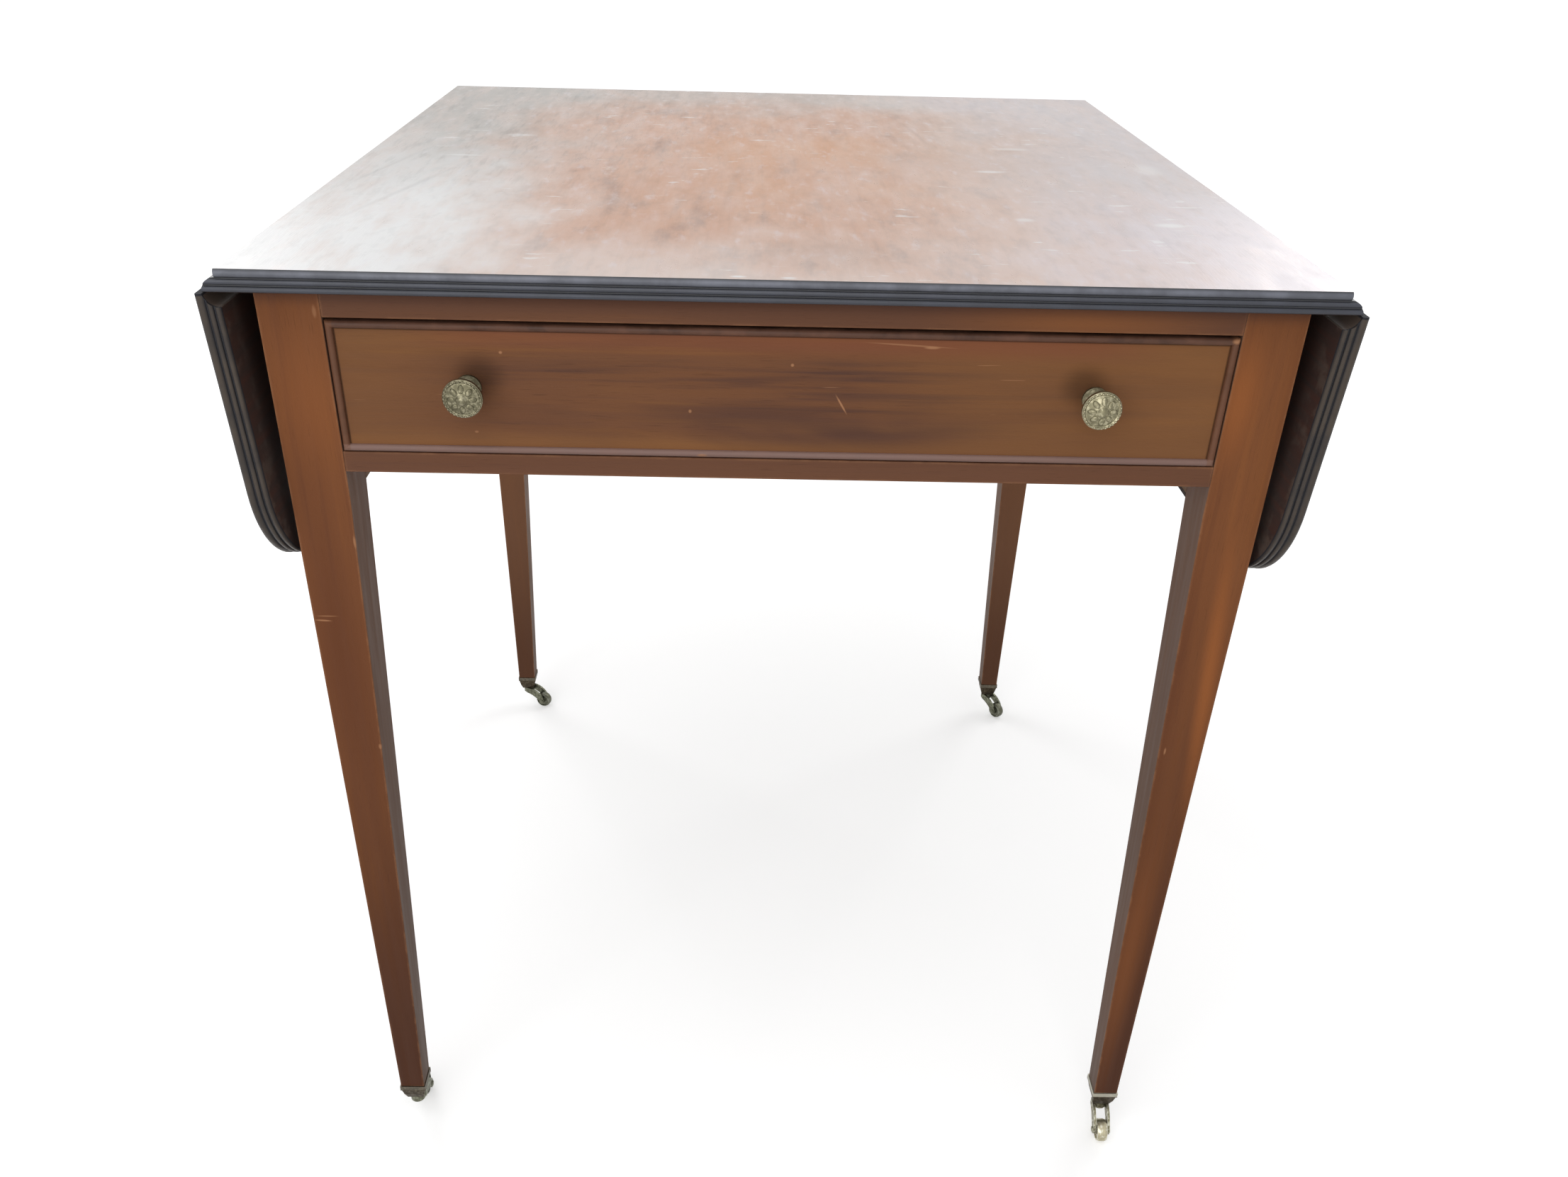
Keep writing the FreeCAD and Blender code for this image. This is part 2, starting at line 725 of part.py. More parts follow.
def make_fork():
    """Boss with the swivel rivet, and two curved horns that reach back to the axle."""
    crown = cup_under - fork_gap
    boss_under = crown - fork_boss_height
    inner = wheel_width / 2 + fork_wheel_gap
    outer = inner + horn_thickness
    boss = cylinder(fork_boss_radius, Vector(0, 0, boss_under), Vector(0, 0, crown))
    rivet_top = cup_under + cup_floor + fork_gap
    rivet = cylinder(swivel_radius, Vector(0, 0, crown), Vector(0, 0, rivet_top))
    head = cylinder(swivel_head_radius, Vector(0, 0, rivet_top), Vector(0, 0, rivet_top + swivel_head_height))
    front = (fork_boss_radius, crown)
    tip = (caster_trail + horn_end_radius, wheel_radius)
    heel = (caster_trail, wheel_radius - horn_end_radius)
    arm = outline(xz, (0.0, crown), front, bowed(front, tip, horn_bow), heel,
                  bowed(heel, (0.0, boss_under), -horn_hollow))
    horn = moved(arm.extrude(Vector(0, horn_thickness, 0)), y=inner)
    end = cylinder(horn_end_radius, Vector(caster_trail, inner, wheel_radius),
                   Vector(caster_trail, outer, wheel_radius))
    fork = joined(boss, rivet, head, horn, end, mirror_y(horn), mirror_y(end))
    return fork.cut(axle_rod(axle_radius, outer))


def axle_rod(radius, half):
    start = Vector(caster_trail, -half, wheel_radius)
    return cylinder(radius, start, Vector(caster_trail, half, wheel_radius))


def make_axle():
    outer = wheel_width / 2 + fork_wheel_gap + horn_thickness
    head = cylinder(axle_head_radius, Vector(caster_trail, outer, wheel_radius),
                    Vector(caster_trail, outer + axle_head_height, wheel_radius))
    return joined(axle_rod(axle_radius, outer), head, mirror_y(head))


def make_wheel():
    half = wheel_width / 2
    flat = wheel_tread / 2
    bore = axle_radius + running_fit
    rim = wheel_radius - wheel_crown
    web = half - wheel_dish
    inside = rim - wheel_dish
    profile = outline(xy, (bore, -half), (wheel_hub_radius, -half), (wheel_hub_radius, -web), (inside, -web),
                      (inside, -half), (rim, -half), (wheel_radius, -flat), (wheel_radius, flat), (rim, half),
                      (inside, half), (inside, web), (wheel_hub_radius, web), (wheel_hub_radius, half),
                      (bore, half))
    wheel = profile.revolve(Vector(0, 0, 0), Vector(0, 1, 0), 360)
    return moved(wheel, caster_trail, 0.0, wheel_radius)


def under_leg(shape, corner):
    side, end = corners[corner]
    rest = turned(shape, Vector(0, 0, 0), Vector(0, 0, 1), caster_turns[corner])
    return moved(rest, side * foot_x, end * foot_y)


# The whole table

def make_carcase():
    """The fixed pieces, each by its name."""
    nodes = {"upper_drawer_rail": make_upper_rail(), "lower_drawer_rail": make_lower_rail(),
             "back_apron": make_back_apron(), "drawer_stops": make_stops(), "glue_blocks": make_glue_blocks()}
    screws = kicker_screws()
    screws += [mirror_x(screw) for screw in screws]
    plates = [make_top_plate(y) for y in hinge_places]
    pins = [make_hinge_pin(y) for y in hinge_places]
    hinge_screws = []
    for y in hinge_places:
        hinge_screws += plate_screws(top_screw_places(y))
    hinge_screws += [mirror_x(screw) for screw in hinge_screws]
    nodes["table_top"] = make_top().cut(screws + hinge_screws)
    nodes["top_screws"] = Part.makeCompound(screws)
    nodes["hinge_screws_top"] = Part.makeCompound(hinge_screws)
    nodes["hinge_plates_top"] = Part.makeCompound(plates + [mirror_x(plate) for plate in plates])
    nodes["hinge_pins"] = Part.makeCompound(pins + [mirror_x(pin) for pin in pins])
    nodes["knuckle_pins"] = Part.makeCompound([make_knuckle_pin(), mirror_x(make_knuckle_pin())])
    for side in ("left", "right"):
        nodes["side_rail_" + side] = for_side(side, make_side_rail())
        nodes["fly_rail_" + side] = for_side(side, make_fly_rail())
        nodes["fly_rail_end_" + side] = for_side(side, make_fly_rail_end())
        nodes["drawer_runner_" + side] = for_side(side, make_runner())
        nodes["drawer_kicker_" + side] = for_side(side, make_kicker())
    rail_names = ("upper_drawer_rail", "lower_drawer_rail", "back_apron", "side_rail_left", "side_rail_right")
    rails = [nodes[name] for name in rail_names]
    for corner, (side, end) in corners.items():
        leg = make_leg()
        leg = leg if side > 0 else mirror_x(leg)
        leg = leg if end < 0 else mirror_y(leg)
        nodes["leg_" + corner] = leg.cut(rails)
    cups = [moved(make_cup(), side * foot_x, end * foot_y) for side, end in corners.values()]
    nodes["caster_cups"] = Part.makeCompound(cups)
    return nodes


def make_leaves():
    nodes = {}
    screws = []
    for y in hinge_places:
        screws += plate_screws(leaf_screw_places(y))
    leaf = make_leaf().cut(screws)
    plates = Part.makeCompound([make_leaf_plate(y) for y in hinge_places])
    for side in ("left", "right"):
        nodes["leaf_" + side] = for_side(side, hung(leaf))
        nodes["hinge_plates_leaf_" + side] = for_side(side, hung(plates))
        nodes["hinge_screws_leaf_" + side] = for_side(side, hung(Part.makeCompound(screws)))
        nodes["fly_bracket_" + side] = for_side(side, make_fly_bracket())
    return nodes


def make_drawer():
    nodes = {"drawer_front": make_drawer_front(), "drawer_back": make_drawer_back(),
             "drawer_bottom": make_drawer_bottom(),
             "knob_nuts": Part.makeCompound([make_nut(), mirror_x(make_nut())])}
    for side in ("left", "right"):
        nodes["drawer_side_" + side] = for_side(side, make_drawer_side())
        nodes["knob_" + side] = for_side(side, make_knob())
    nodes.update(make_beads())
    return nodes


def make_casters():
    nodes = {}
    for corner in corners:
        nodes["caster_fork_" + corner] = under_leg(make_fork(), corner)
        nodes["caster_axle_" + corner] = under_leg(make_axle(), corner)
        nodes["caster_wheel_" + corner] = under_leg(make_wheel(), corner)
    return nodes


def main():
    os.makedirs("parts", exist_ok=True)
    nodes = {**make_carcase(), **make_leaves(), **make_drawer(), **make_casters()}
    for name, shape in nodes.items():
        moved(shape, y=origin_shift).exportStep(os.path.join("parts", name + ".step"))
    print(len(nodes), "pieces")


main()
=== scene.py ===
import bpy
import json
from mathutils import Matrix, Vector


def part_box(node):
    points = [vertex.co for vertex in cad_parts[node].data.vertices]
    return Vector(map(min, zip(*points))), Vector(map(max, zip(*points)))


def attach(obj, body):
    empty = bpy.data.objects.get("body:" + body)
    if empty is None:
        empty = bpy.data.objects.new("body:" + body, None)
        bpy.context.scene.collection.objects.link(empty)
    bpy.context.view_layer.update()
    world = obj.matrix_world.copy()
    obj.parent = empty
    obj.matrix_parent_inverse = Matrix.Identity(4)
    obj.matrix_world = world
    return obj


bl_info = {
    "name": "Pembroke Table",
    "version": (1, 0, 0),
    "blender": (4, 5, 0),
    "location": "3D View > Sidebar > Table",
    "description": "Finishes a pembroke table in worn mahogany and tarnished brass, on a studio stage",
    "category": "Object",
}

import json
import math

import bmesh
import bpy
from bpy.props import FloatProperty, FloatVectorProperty, IntProperty, PointerProperty
from mathutils import Matrix, Vector

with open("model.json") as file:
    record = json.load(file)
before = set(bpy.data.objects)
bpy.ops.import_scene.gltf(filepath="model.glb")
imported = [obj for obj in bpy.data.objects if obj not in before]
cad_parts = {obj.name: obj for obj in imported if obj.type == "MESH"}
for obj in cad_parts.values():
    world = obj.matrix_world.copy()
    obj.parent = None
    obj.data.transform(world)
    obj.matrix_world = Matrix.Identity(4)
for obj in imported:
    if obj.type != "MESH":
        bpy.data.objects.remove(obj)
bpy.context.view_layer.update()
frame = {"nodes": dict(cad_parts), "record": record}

SIDES = ("left", "right")
CORNERS = ("front_left", "front_right", "back_left", "back_right")
PHOTO_WIDTH = 2212

top_low, top_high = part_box("table_top")
TOP_LEVEL = top_high[2]
TOP_UNDER = top_low[2]
TOP_MIDDLE = (top_low[1] + top_high[1]) / 2
TOP_HALF_DEPTH = (top_high[1] - top_low[1]) / 2

# The pins of the leaves lie below the upright steps at the long sides of the top
LEAF_JOINTS = {j["child"]: j for j in frame["record"]["behaviour"]["joints"] if j["name"].startswith("leaf_")}
TOP_HALF_WIDTH = LEAF_JOINTS["leaf_right_body"]["pos_m"][0]

# The dished face of a knob: its inner and outer radius, how far its inner edge lies behind the tip of the
# boss, how much further back its outer edge lies, and how far behind the tip the beads of the rim stand
DISH_INNER = 0.0034
DISH_OUTER = 0.0095
DISH_FRONT = 0.0017
DISH_FALL = 0.0024
BEAD_BACK = 0.0036

# Breadth of the bead round the drawer, and of the band round the top of a caster's cup, rubbed and painted
# highlight
BEAD_WIDTH = 0.0042
RIM_BAND = 0.0045

# Where the black of the reeds begins and is full, in from the floor of their grooves
REED_START = 0.0007
REED_FULL = 0.0003

# Where the paint of a leaf changes, measured from its hinge pins: round its hollow, at the end of its lip
# and on its inner face, and how rough it is where nobody polishes it
HOLLOW_EDGE = (0.0092, 0.0088)
LIP_EDGE = (0.0022, 0.0014)
INSIDE_EDGE = (0.0012, 0.0004)
UNPOLISHED = (0.75, 0.75, 0.75)

# Softened edges of legs, rails and apron: their rounding, the turn that counts as an edge and the gap that
# is welded
ARRIS_ROUND = 0.0006
ARRIS_ANGLE = math.radians(40)
WELD_GAP = 0.00002

# Radius within which an arris shows wear, on wood and on metal; on wood the pale line is partly a painted
# highlight
WOOD_WEAR = 0.0022
METAL_WEAR = 0.0009

# The camera's sensor in millimetres, and half the width of the floor in metres
SENSOR_WIDTH = 36
FLOOR_REACH = 30

# Worn places on the top: where, half sizes, and how bare they are
TOP_MARKS = (((0.251, -0.181), (0.014, 0.008), 0.75), ((-0.077, 0.182), (0.009, 0.003), 0.7),
             ((-0.239, -0.005), (0.020, 0.003), 0.6), ((0.159, -0.025), (0.016, 0.006), 0.6),
             ((-0.027, -0.318), (0.006, 0.003), 0.8), ((0.001, -0.319), (0.006, 0.003), 0.7),
             ((0.158, -0.174), (0.009, 0.007), 0.5), ((-0.209, 0.081), (0.016, 0.008), 0.4),
             ((0.19, 0.066), (0.022, 0.008), 0.4), ((0.284, -0.006), (0.014, 0.03), 0.4))

# Dark streaks along the top's grain: where, half sizes and turn
TOP_STREAKS = (((-0.068, -0.15), (0.004, 0.06), -0.1), ((-0.034, -0.10), (0.005, 0.10), -0.06),
               ((-0.255, -0.12), (0.004, 0.13), -0.25), ((-0.285, -0.05), (0.003, 0.09), -0.2),
               ((0.12, 0.12), (0.003, 0.08), 0.12), ((0.03, -0.265), (0.06, 0.05), 0.0))

# Patches of other colours on the front legs and the upper rail: where, half sizes, turn, share and colour
FRONT_PATCHES = (((-0.277, 0.64), (0.03, 0.06), 0.0, 0.25, "leg_orange"),
                 ((0.2895, 0.46), (0.009, 0.15), -0.06, 0.7, "leg_orange"),
                 ((0.268, 0.655), (0.018, 0.06), 0.0, 0.6, "leg_orange"),
                 ((0.280, 0.19), (0.016, 0.2), 0.0, 0.35, "leg_orange"),
                 ((-0.284, 0.47), (0.03, 0.22), 0.0, 0.65, "leg_dark"),
                 ((0.268, 0.45), (0.008, 0.16), -0.03, 0.5, "leg_dark"),
                 ((0.17, 0.702), (0.11, 0.02), 0.0, 0.75, "leg_pale"))

# Scratches on the front legs: where, half sizes, turn and share
LEG_MARKS = (((-0.292, 0.4932), (0.007, 0.0009), 0.05, 0.8), ((-0.289, 0.4965), (0.009, 0.0006), 0.0, 0.6),
             ((-0.2636, 0.5505), (0.0012, 0.006), 0.0, 0.7), ((-0.2627, 0.5252), (0.001, 0.009), 0.0, 0.7),
             ((-0.2687, 0.3924), (0.0015, 0.003), 0.0, 0.7), ((0.272, 0.398), (0.001, 0.004), 0.0, 0.7),
             ((-0.2655, 0.697), (0.0016, 0.005), 0.0, 0.5))

# Scratches and nicks on the drawer front: where, half sizes, turn and how bare they are
DRAWER_MARKS = (((0.073, 0.6838), (0.032, 0.0007), 0.049, 0.6), ((0.085, 0.6826), (0.006, 0.0011), 0.0, 0.9),
                ((0.0345, 0.647), (0.0085, 0.0008), 1.04, 0.9), ((0.028, 0.6575), (0.007, 0.0004), 0.0, 0.4),
                ((0.005, 0.6706), (0.0013, 0.0013), 0.0, 0.9), ((-0.163, 0.6748), (0.0014, 0.0012), 0.0, 0.9),
                ((-0.0544, 0.6411), (0.0013, 0.0015), 0.0, 0.7),
                ((-0.181, 0.6257), (0.0016, 0.001), 0.0, 0.5))

# Chips in the bead round the drawer, and a painted highlight on the lower bead: where, half sizes and how bare
# they are
BEAD_CHIPS_AND_HIGHLIGHT = (((0.2593, 0.6905), (0.004, 0.002), 0.9), ((-0.0473, 0.6141), (0.004, 0.0014), 0.6))


def tint(red, green, blue):
    """A colour picked on screen, from 0 to 255, as the linear values that sockets take."""
    shades = [value / 255 for value in (red, green, blue)]
    return tuple(s / 12.92 if s <= 0.04045 else ((s + 0.055) / 1.055) ** 2.4 for s in shades)


def colour(name, description, default):
    return FloatVectorProperty(name=name, description=description, subtype="COLOR", size=3, min=0, max=1,
                               default=tint(*default))


def length(name, description, default):
    return FloatProperty(name=name, description=description, subtype="DISTANCE", unit="LENGTH",
                         default=default)


def amount(name, description, default):
    return FloatProperty(name=name, description=description, min=0, soft_max=1, default=default)


class WoodSettings(bpy.types.PropertyGroup):
    """Colours and wear of the mahogany and the inner woods"""

    top_tan: colour("Top, tan", "Faded middle of the top", (192, 148, 122))
    top_rose: colour("Top, rose", "Pinker patches of the top", (197, 160, 143))
    top_umber: colour("Top, umber", "Darker grain of the top", (166, 128, 108))
    top_ochre: colour("Top, ochre", "Warmest patch, in the middle", (196, 144, 106))
    # The three blooms are partly bloom of the polish and partly a painted reflection of the room's light at a
    # glancing view; the front one also colours light scratches and worn places
    bloom_right: colour("Bloom, right", "Lavender bloom towards the right", (214, 209, 216))
    bloom_front: colour("Bloom, front", "White bloom of the front corners' polish", (223, 223, 223))
    bloom_back: colour("Bloom, back", "Grey bloom of the polish at the back", (172, 167, 162))
    leg_pale: colour("Legs, pale", "Lighter grain of the legs", (152, 96, 56))
    leg_brown: colour("Legs, brown", "Main colour of the legs", (130, 81, 50))
    leg_dark: colour("Legs, dark", "Darker grain of the legs", (98, 58, 39))
    # Painted light: a paler copy of the legs' colour for the back legs and apron, standing in for light they
    # get from behind
    leg_back: colour("Legs, back", "Bleached back legs and apron", (178, 134, 104))
    leg_orange: colour("Legs, orange", "Warm patches of the front legs", (166, 100, 54))
    # Painted shade: the legs darken towards the floor
    foot_dark: colour("Feet", "Legs near the floor", (68, 41, 31))
    # A greyer colour for the faces that turn inward
    dust: colour("Dust", "Greyed inner faces of the legs", (119, 105, 96))
    rail_pale: colour("Rails, pale", "Lighter grain of rails and apron", (130, 88, 62))
    rail_brown: colour("Rails, brown", "Main colour of rails and apron", (112, 76, 57))
    rail_dark: colour("Rails, dark", "Smoky streaks of rails and apron", (88, 60, 51))
    drawer_pale: colour("Drawer, pale", "Lighter grain of the drawer front", (140, 95, 57))
    drawer_brown: colour("Drawer, brown", "Main colour of the drawer front", (120, 79, 53))
    drawer_dark: colour("Drawer, dark", "Smoky streaks of the drawer front", (84, 57, 48))
    drawer_red: colour("Drawer, red", "Redder stripe below the top bead", (134, 80, 56))
    leaf_pale: colour("Leaves, pale", "Lighter grain of the leaves", (146, 94, 68))
    leaf_brown: colour("Leaves, brown", "Main colour of the leaves", (120, 72, 51))
    leaf_dark: colour("Leaves, dark", "Darker grain of the leaves", (84, 48, 36))
    leaf_inside: colour("Leaves, inside", "Grimy inner faces of the leaves", (60, 46, 42))
    leaf_rubbed: colour("Leaves, rubbed", "Scuffed inner borders and hollows of the leaves", (92, 80, 72))
    leaf_edge: colour("Leaves, edges", "Rubbed crests of the leaves' reeds", (79, 70, 62))
    bead: colour("Bead", "Brown of the drawer's bead", (94, 65, 52))
    # Painted highlight: the light that the lower bead catches from above
    bead_mauve: colour("Bead, mauve", "Polish caught on the lower bead", (142, 115, 107))
    # The reeds' black, also used for painted shade: darkest in the grooves, on the top's side of the rule
    # joint and on the leaves' lips
    ebony: colour("Reeds, grooves", "Blackened grooves of the reeded edges", (37, 38, 43))
    # The upper reed's crests are a lit copy and the lower reeds' crests a shaded copy of one colour: painted
    # light from above
    ebony_worn: colour("Reeds, upper", "Rubbed crest of the top's upper reed", (113, 116, 127))
    ebony_crest: colour("Reeds, lower", "Crests of the top's lower reeds", (55, 58, 69))
    oak_pale: colour("Inner wood, pale", "Lighter grain of the unpolished inner pieces", (146, 112, 78))
    oak_dark: colour("Inner wood, dark", "Darker grain of the unpolished inner pieces", (94, 66, 45))
    # Bare wood, also the colour of the painted highlight along the arrises
    bare: colour("Bare wood", "Rubbed edges and scratches", (178, 128, 92))
    edge_wear: amount("Edge wear", "How much the arrises are rubbed", 0.6)
    reed_depth: length("Reed depth", "Depth of the reeded edges", 0.0013)
    leaf_reach: length("Leaf reach", "From the hinge pin to a leaf's free edge", 0.186)
    leaf_corner: length("Leaf corner", "Radius of a leaf's rounded corners", 0.064)


class MetalSettings(bpy.types.PropertyGroup):
    """Colours of the brass and iron, and the knobs' cast rosette"""

    knob: colour("Knobs", "Rubbed high parts of the knobs", (184, 177, 149))
    knob_dull: colour("Knobs, dull", "Tarnish in the hollows of the knobs", (122, 117, 94))
    knob_left: amount("Left knob", "How bright the left knob is, next to the right one", 0.68)
    brass: colour("Brass", "Hollows of the bright wheel", (174, 167, 141))
    brass_dull: colour("Brass, dull", "Hollows of the bright fork", (115, 110, 88))
    fork: colour("Forks", "Green-grey horns of the casters", (138, 140, 121))
    fork_dull: colour("Forks, dull", "Tarnish of horns and wheels", (98, 98, 83))
    # Painted light: the front right caster's fork and wheel are brighter copies of the casters' metal
    fork_bright: colour("Forks, bright", "Rubbed horn of the front right caster", (196, 195, 178))
    cup: colour("Cups, rubbed", "Rubbed parts of the sockets", (97, 87, 72))
    bronze: colour("Cups", "Browned sockets of the casters", (64, 56, 45))
    wheel_dull: colour("Wheels, dull", "Tarnished rolling faces of the casters", (134, 136, 124))
    # A bright copy of the wheels' metal, painted light on the front right caster and a painted highlight on
    # the cups' rims
    wheel: colour("Wheels", "Bright rolling face of the front right caster", (226, 224, 208))
    iron: colour("Iron", "Hinges and screws", (66, 62, 58))
    petals: IntProperty(name="Petals", description="Cast petals round the boss of a knob", min=3, default=8)
    petal_ring: length("Petal ring", "From the knob's middle to a petal's middle", 0.0062)
    petal_length: length("Petal length", "Half of a petal, along the knob's radius", 0.0026)
    petal_width: length("Petal width", "Half of a petal, across it", 0.0017)
    petal_rise: length("Petal rise", "How far the petals stand off the dished face", 0.0009)
    beads: IntProperty(name="Beads", description="Small beads round the rim of a knob", min=3, default=30)
    bead_ring: length("Bead ring", "From the knob's middle to a bead's middle", 0.0105)
    bead_size: length("Bead size", "Radius of a bead", 0.0007)


class StageSettings(bpy.types.PropertyGroup):
    """The camera that took the photo, and the studio"""

    focal: FloatProperty(name="Focal length", description="In pixels of the photo", default=1774.08)
    place: FloatVectorProperty(name="Camera place", description="In the table's own frame", subtype="XYZ",
                               unit="LENGTH", default=(-0.02148, -1.0066, 0.91896))
    yaw: FloatProperty(name="Yaw", description="Turn about the upright axis", subtype="ANGLE", default=0.0194)
    pitch: FloatProperty(name="Pitch", description="Look down", subtype="ANGLE", default=0.5361)
    roll: FloatProperty(name="Roll", description="Turn about the line of sight", subtype="ANGLE",
                        default=0.0262)
    shift: FloatVectorProperty(name="Shift", description="Lens shift, in frame widths", size=2,
                               default=(0.0130, 0.0149))
    floor: colour("Floor", "Plain pale floor", (238, 238, 238))
    bounce: colour("Floor, bounce", "How pale the floor is for the light it throws back", (172, 170, 168))
    sky: amount("Room light", "Light from all round", 0.55)
    key: FloatProperty(name="Key lamp", description="Soft lamp overhead", unit="POWER", default=15)
    front: FloatProperty(name="Front lamp", description="Soft lamp before the table", unit="POWER",
                         default=19)
    side: FloatProperty(name="Side lamps", description="Soft lamps behind the table, left and right",
                        unit="POWER", default=9)


class TableSettings(bpy.types.PropertyGroup):
    """All that can be changed"""

    wood: PointerProperty(type=WoodSettings)
    metal: PointerProperty(type=MetalSettings)
    stage: PointerProperty(type=StageSettings)


class Finish:
    """A material whose nodes are added from the coordinates towards the shader."""

    def __init__(self, name):
        self.material = bpy.data.materials.new(name)
        self.material.use_nodes = True
        tree = self.material.node_tree
        self.nodes = tree.nodes
        self.links = tree.links
        self.shader = self.nodes["Principled BSDF"]
        self.place = self.add("TexCoord").outputs["Object"]

    def add(self, kind, inputs=(), **settings):
        node = self.nodes.new("ShaderNode" + kind)
        for key, value in settings.items():
            setattr(node, key, value)
        for key, value in dict(inputs).items():
            self.feed(node.inputs[key], value)
        return node

    def feed(self, socket, value):
        if isinstance(value, bpy.types.NodeSocket):
            self.links.new(value, socket)
        elif socket.type == "RGBA" and len(value) == 3:
            socket.default_value = (*value, 1)
        else:
            socket.default_value = value

    def set(self, **inputs):
        for key, value in inputs.items():
            self.feed(self.shader.inputs[key.replace("_", " ")], value)

    def painted(self):
        """The colour that the shader has so far."""
        return self.shader.inputs["Base Color"].links[0].from_socket

    def math(self, operation, first, second=0.0):
        return self.add("Math", {0: first, 1: second}, operation=operation).outputs[0]

    def times(self, first, *others):
        for other in others:
            first = self.math("MULTIPLY", first, other)
        return first

    def either(self, first, *others):
        for other in others:
            first = self.math("MAXIMUM", first, other)
        return first

    def vector(self, operation, first, second=(0, 0, 0)):
        return self.add("VectorMath", {0: first, 1: second}, operation=operation)

    def axes(self, vector):
        return self.add("SeparateXYZ", {0: vector}).outputs

    def step(self, value, low, high, start=0.0, end=1.0):
        """A smooth rise from start to end as the value goes from low to high."""
        inputs = {"Value": value, "From Min": low, "From Max": high, "To Min": start, "To Max": end}
        return self.add("MapRange", inputs, interpolation_type="SMOOTHSTEP").outputs[0]

    def mix(self, share, first, second, blend="MIX"):
        node = self.add("Mix", data_type="RGBA", blend_type=blend)
        self.feed(node.inputs[0], share)
        self.feed(node.inputs[6], first)
        self.feed(node.inputs[7], second)
        return node.outputs[2]

    def darker(self, share, base, part):
        """The base times a part of itself, where the share is 1."""
        return self.mix(share, base, (part, part, part), "MULTIPLY")

    def stretch(self, grain, along, across, turn=(0, 0, 0)):
        """The coordinates drawn out along the grain, for a pattern of about one unit."""
        scale = [along if axis == grain else across for axis in "XYZ"]
        return self.add("Mapping", {"Vector": self.place, "Scale": scale, "Rotation": turn}).outputs[0]

    def noise(self, vector, scale=1.0, detail=3.0, rough=0.55, swirl=0.0):
        inputs = {"Vector": vector, "Scale": scale, "Detail": detail, "Roughness": rough, "Distortion": swirl}
        return self.add("TexNoise", inputs).outputs["Fac"]

    def spot(self, middle, size, turn=(0, 0, 0), soft=0.0):
        """1 in the middle of an oval of these half sizes, out to the share soft, and 0 past its edge."""
        inputs = {"Vector": self.place, "Location": middle, "Rotation": turn, "Scale": size}
        inside = self.add("Mapping", inputs, vector_type="TEXTURE").outputs[0]
        return self.step(self.vector("LENGTH", inside).outputs["Value"], 1.0, soft)

    def front_spot(self, front, place, size, depth=1.0, turn=0.0, soft=0.0):
        """A spot on an upright front face, its place and half sizes given across and up."""
        return self.spot((place[0], front, place[1]), (size[0], depth, size[1]), (0, turn, 0), soft)

    def blend3(self, value, dark, middle, pale, spread=0.22):
        """Dark below the middle of the noise, pale above it."""
        low = self.step(value, 0.5 - spread, 0.5)
        high = self.step(value, 0.5, 0.5 + spread)
        return self.mix(high, self.mix(low, dark, middle), pale)

    def arris(self, radius):
        """1 on edges, 0 on the flats: how far a rounded normal leaves the true one."""
        soft = self.add("Bevel", {"Radius": radius}, samples=4).outputs[0]
        true = self.add("NewGeometry").outputs["Normal"]
        turn = self.vector("DOT_PRODUCT", soft, true).outputs["Value"]
        return self.step(turn, 0.992, 0.90)

    def bump(self, height, strength, distance):
        node = self.add("Bump", {"Height": height, "Strength": strength, "Distance": distance})
        self.set(Normal=node.outputs[0])


def settings():
    """The values of this scene."""
    return bpy.context.scene.pembroke


def wood_grain(finish, grain, dark, middle, pale, spread=0.22):
    """Figure, streaks and pores of mahogany along one axis: a colour, the pores and the streaks."""
    figure = finish.noise(finish.stretch(grain, 2.4, 34), detail=4, swirl=0.7)
    streaks = finish.noise(finish.stretch(grain, 7, 230), detail=3)
    pores = finish.noise(finish.stretch(grain, 60, 1300), detail=2)
    tone = finish.math("ADD", finish.times(figure, 0.7), finish.times(streaks, 0.3))
    base = finish.blend3(tone, dark, middle, pale, spread)
    pitted = finish.step(pores, 0.60, 0.72, 0.0, 0.4)
    return finish.darker(pitted, base, 0.55), pores, streaks


def scratches(finish, turn, along, across, rare):
    """Thin light marks along one direction, broken up by a coarse noise."""
    line = finish.noise(finish.stretch("X", along, across, turn), detail=1, rough=0.4)
    where = finish.noise(finish.place, scale=14, detail=2)
    thin = finish.step(line, rare, rare + 0.03)
    return finish.times(thin, finish.step(where, 0.52, 0.6))


def rubbed_and_highlit(finish, base, part):
    """Arrises rubbed bare and partly given a painted highlight, broken up so that they come and go, with a
    part of the wood's full wear.
    """
    wood = settings().wood
    patchy = finish.step(finish.noise(finish.place, scale=75, detail=4), 0.42, 0.62, 0.3, 1.0)
    share = finish.times(finish.arris(WOOD_WEAR), patchy, wood.edge_wear * part)
    return finish.mix(share, base, wood.bare)


def reeds(finish, out, groove, crest, rubbed_and_sheen_colour):
    """Blackened reeds, by how far out a point stands: darker in the grooves, as painted shade, and paler on
    the crests, partly rubbed and partly a painted sheen.
    """
    rubbed = finish.step(finish.noise(finish.place, scale=60, detail=3), 0.3, 0.7, 0.55, 1.0)
    share = finish.times(finish.step(out, groove, crest), rubbed)
    return finish.mix(share, settings().wood.ebony, rubbed_and_sheen_colour)


def reeded(finish, out, groove):
    """1 on a reeded edge, from just inside the floor of its grooves."""
    return finish.step(out, groove - REED_START, groove - REED_FULL)


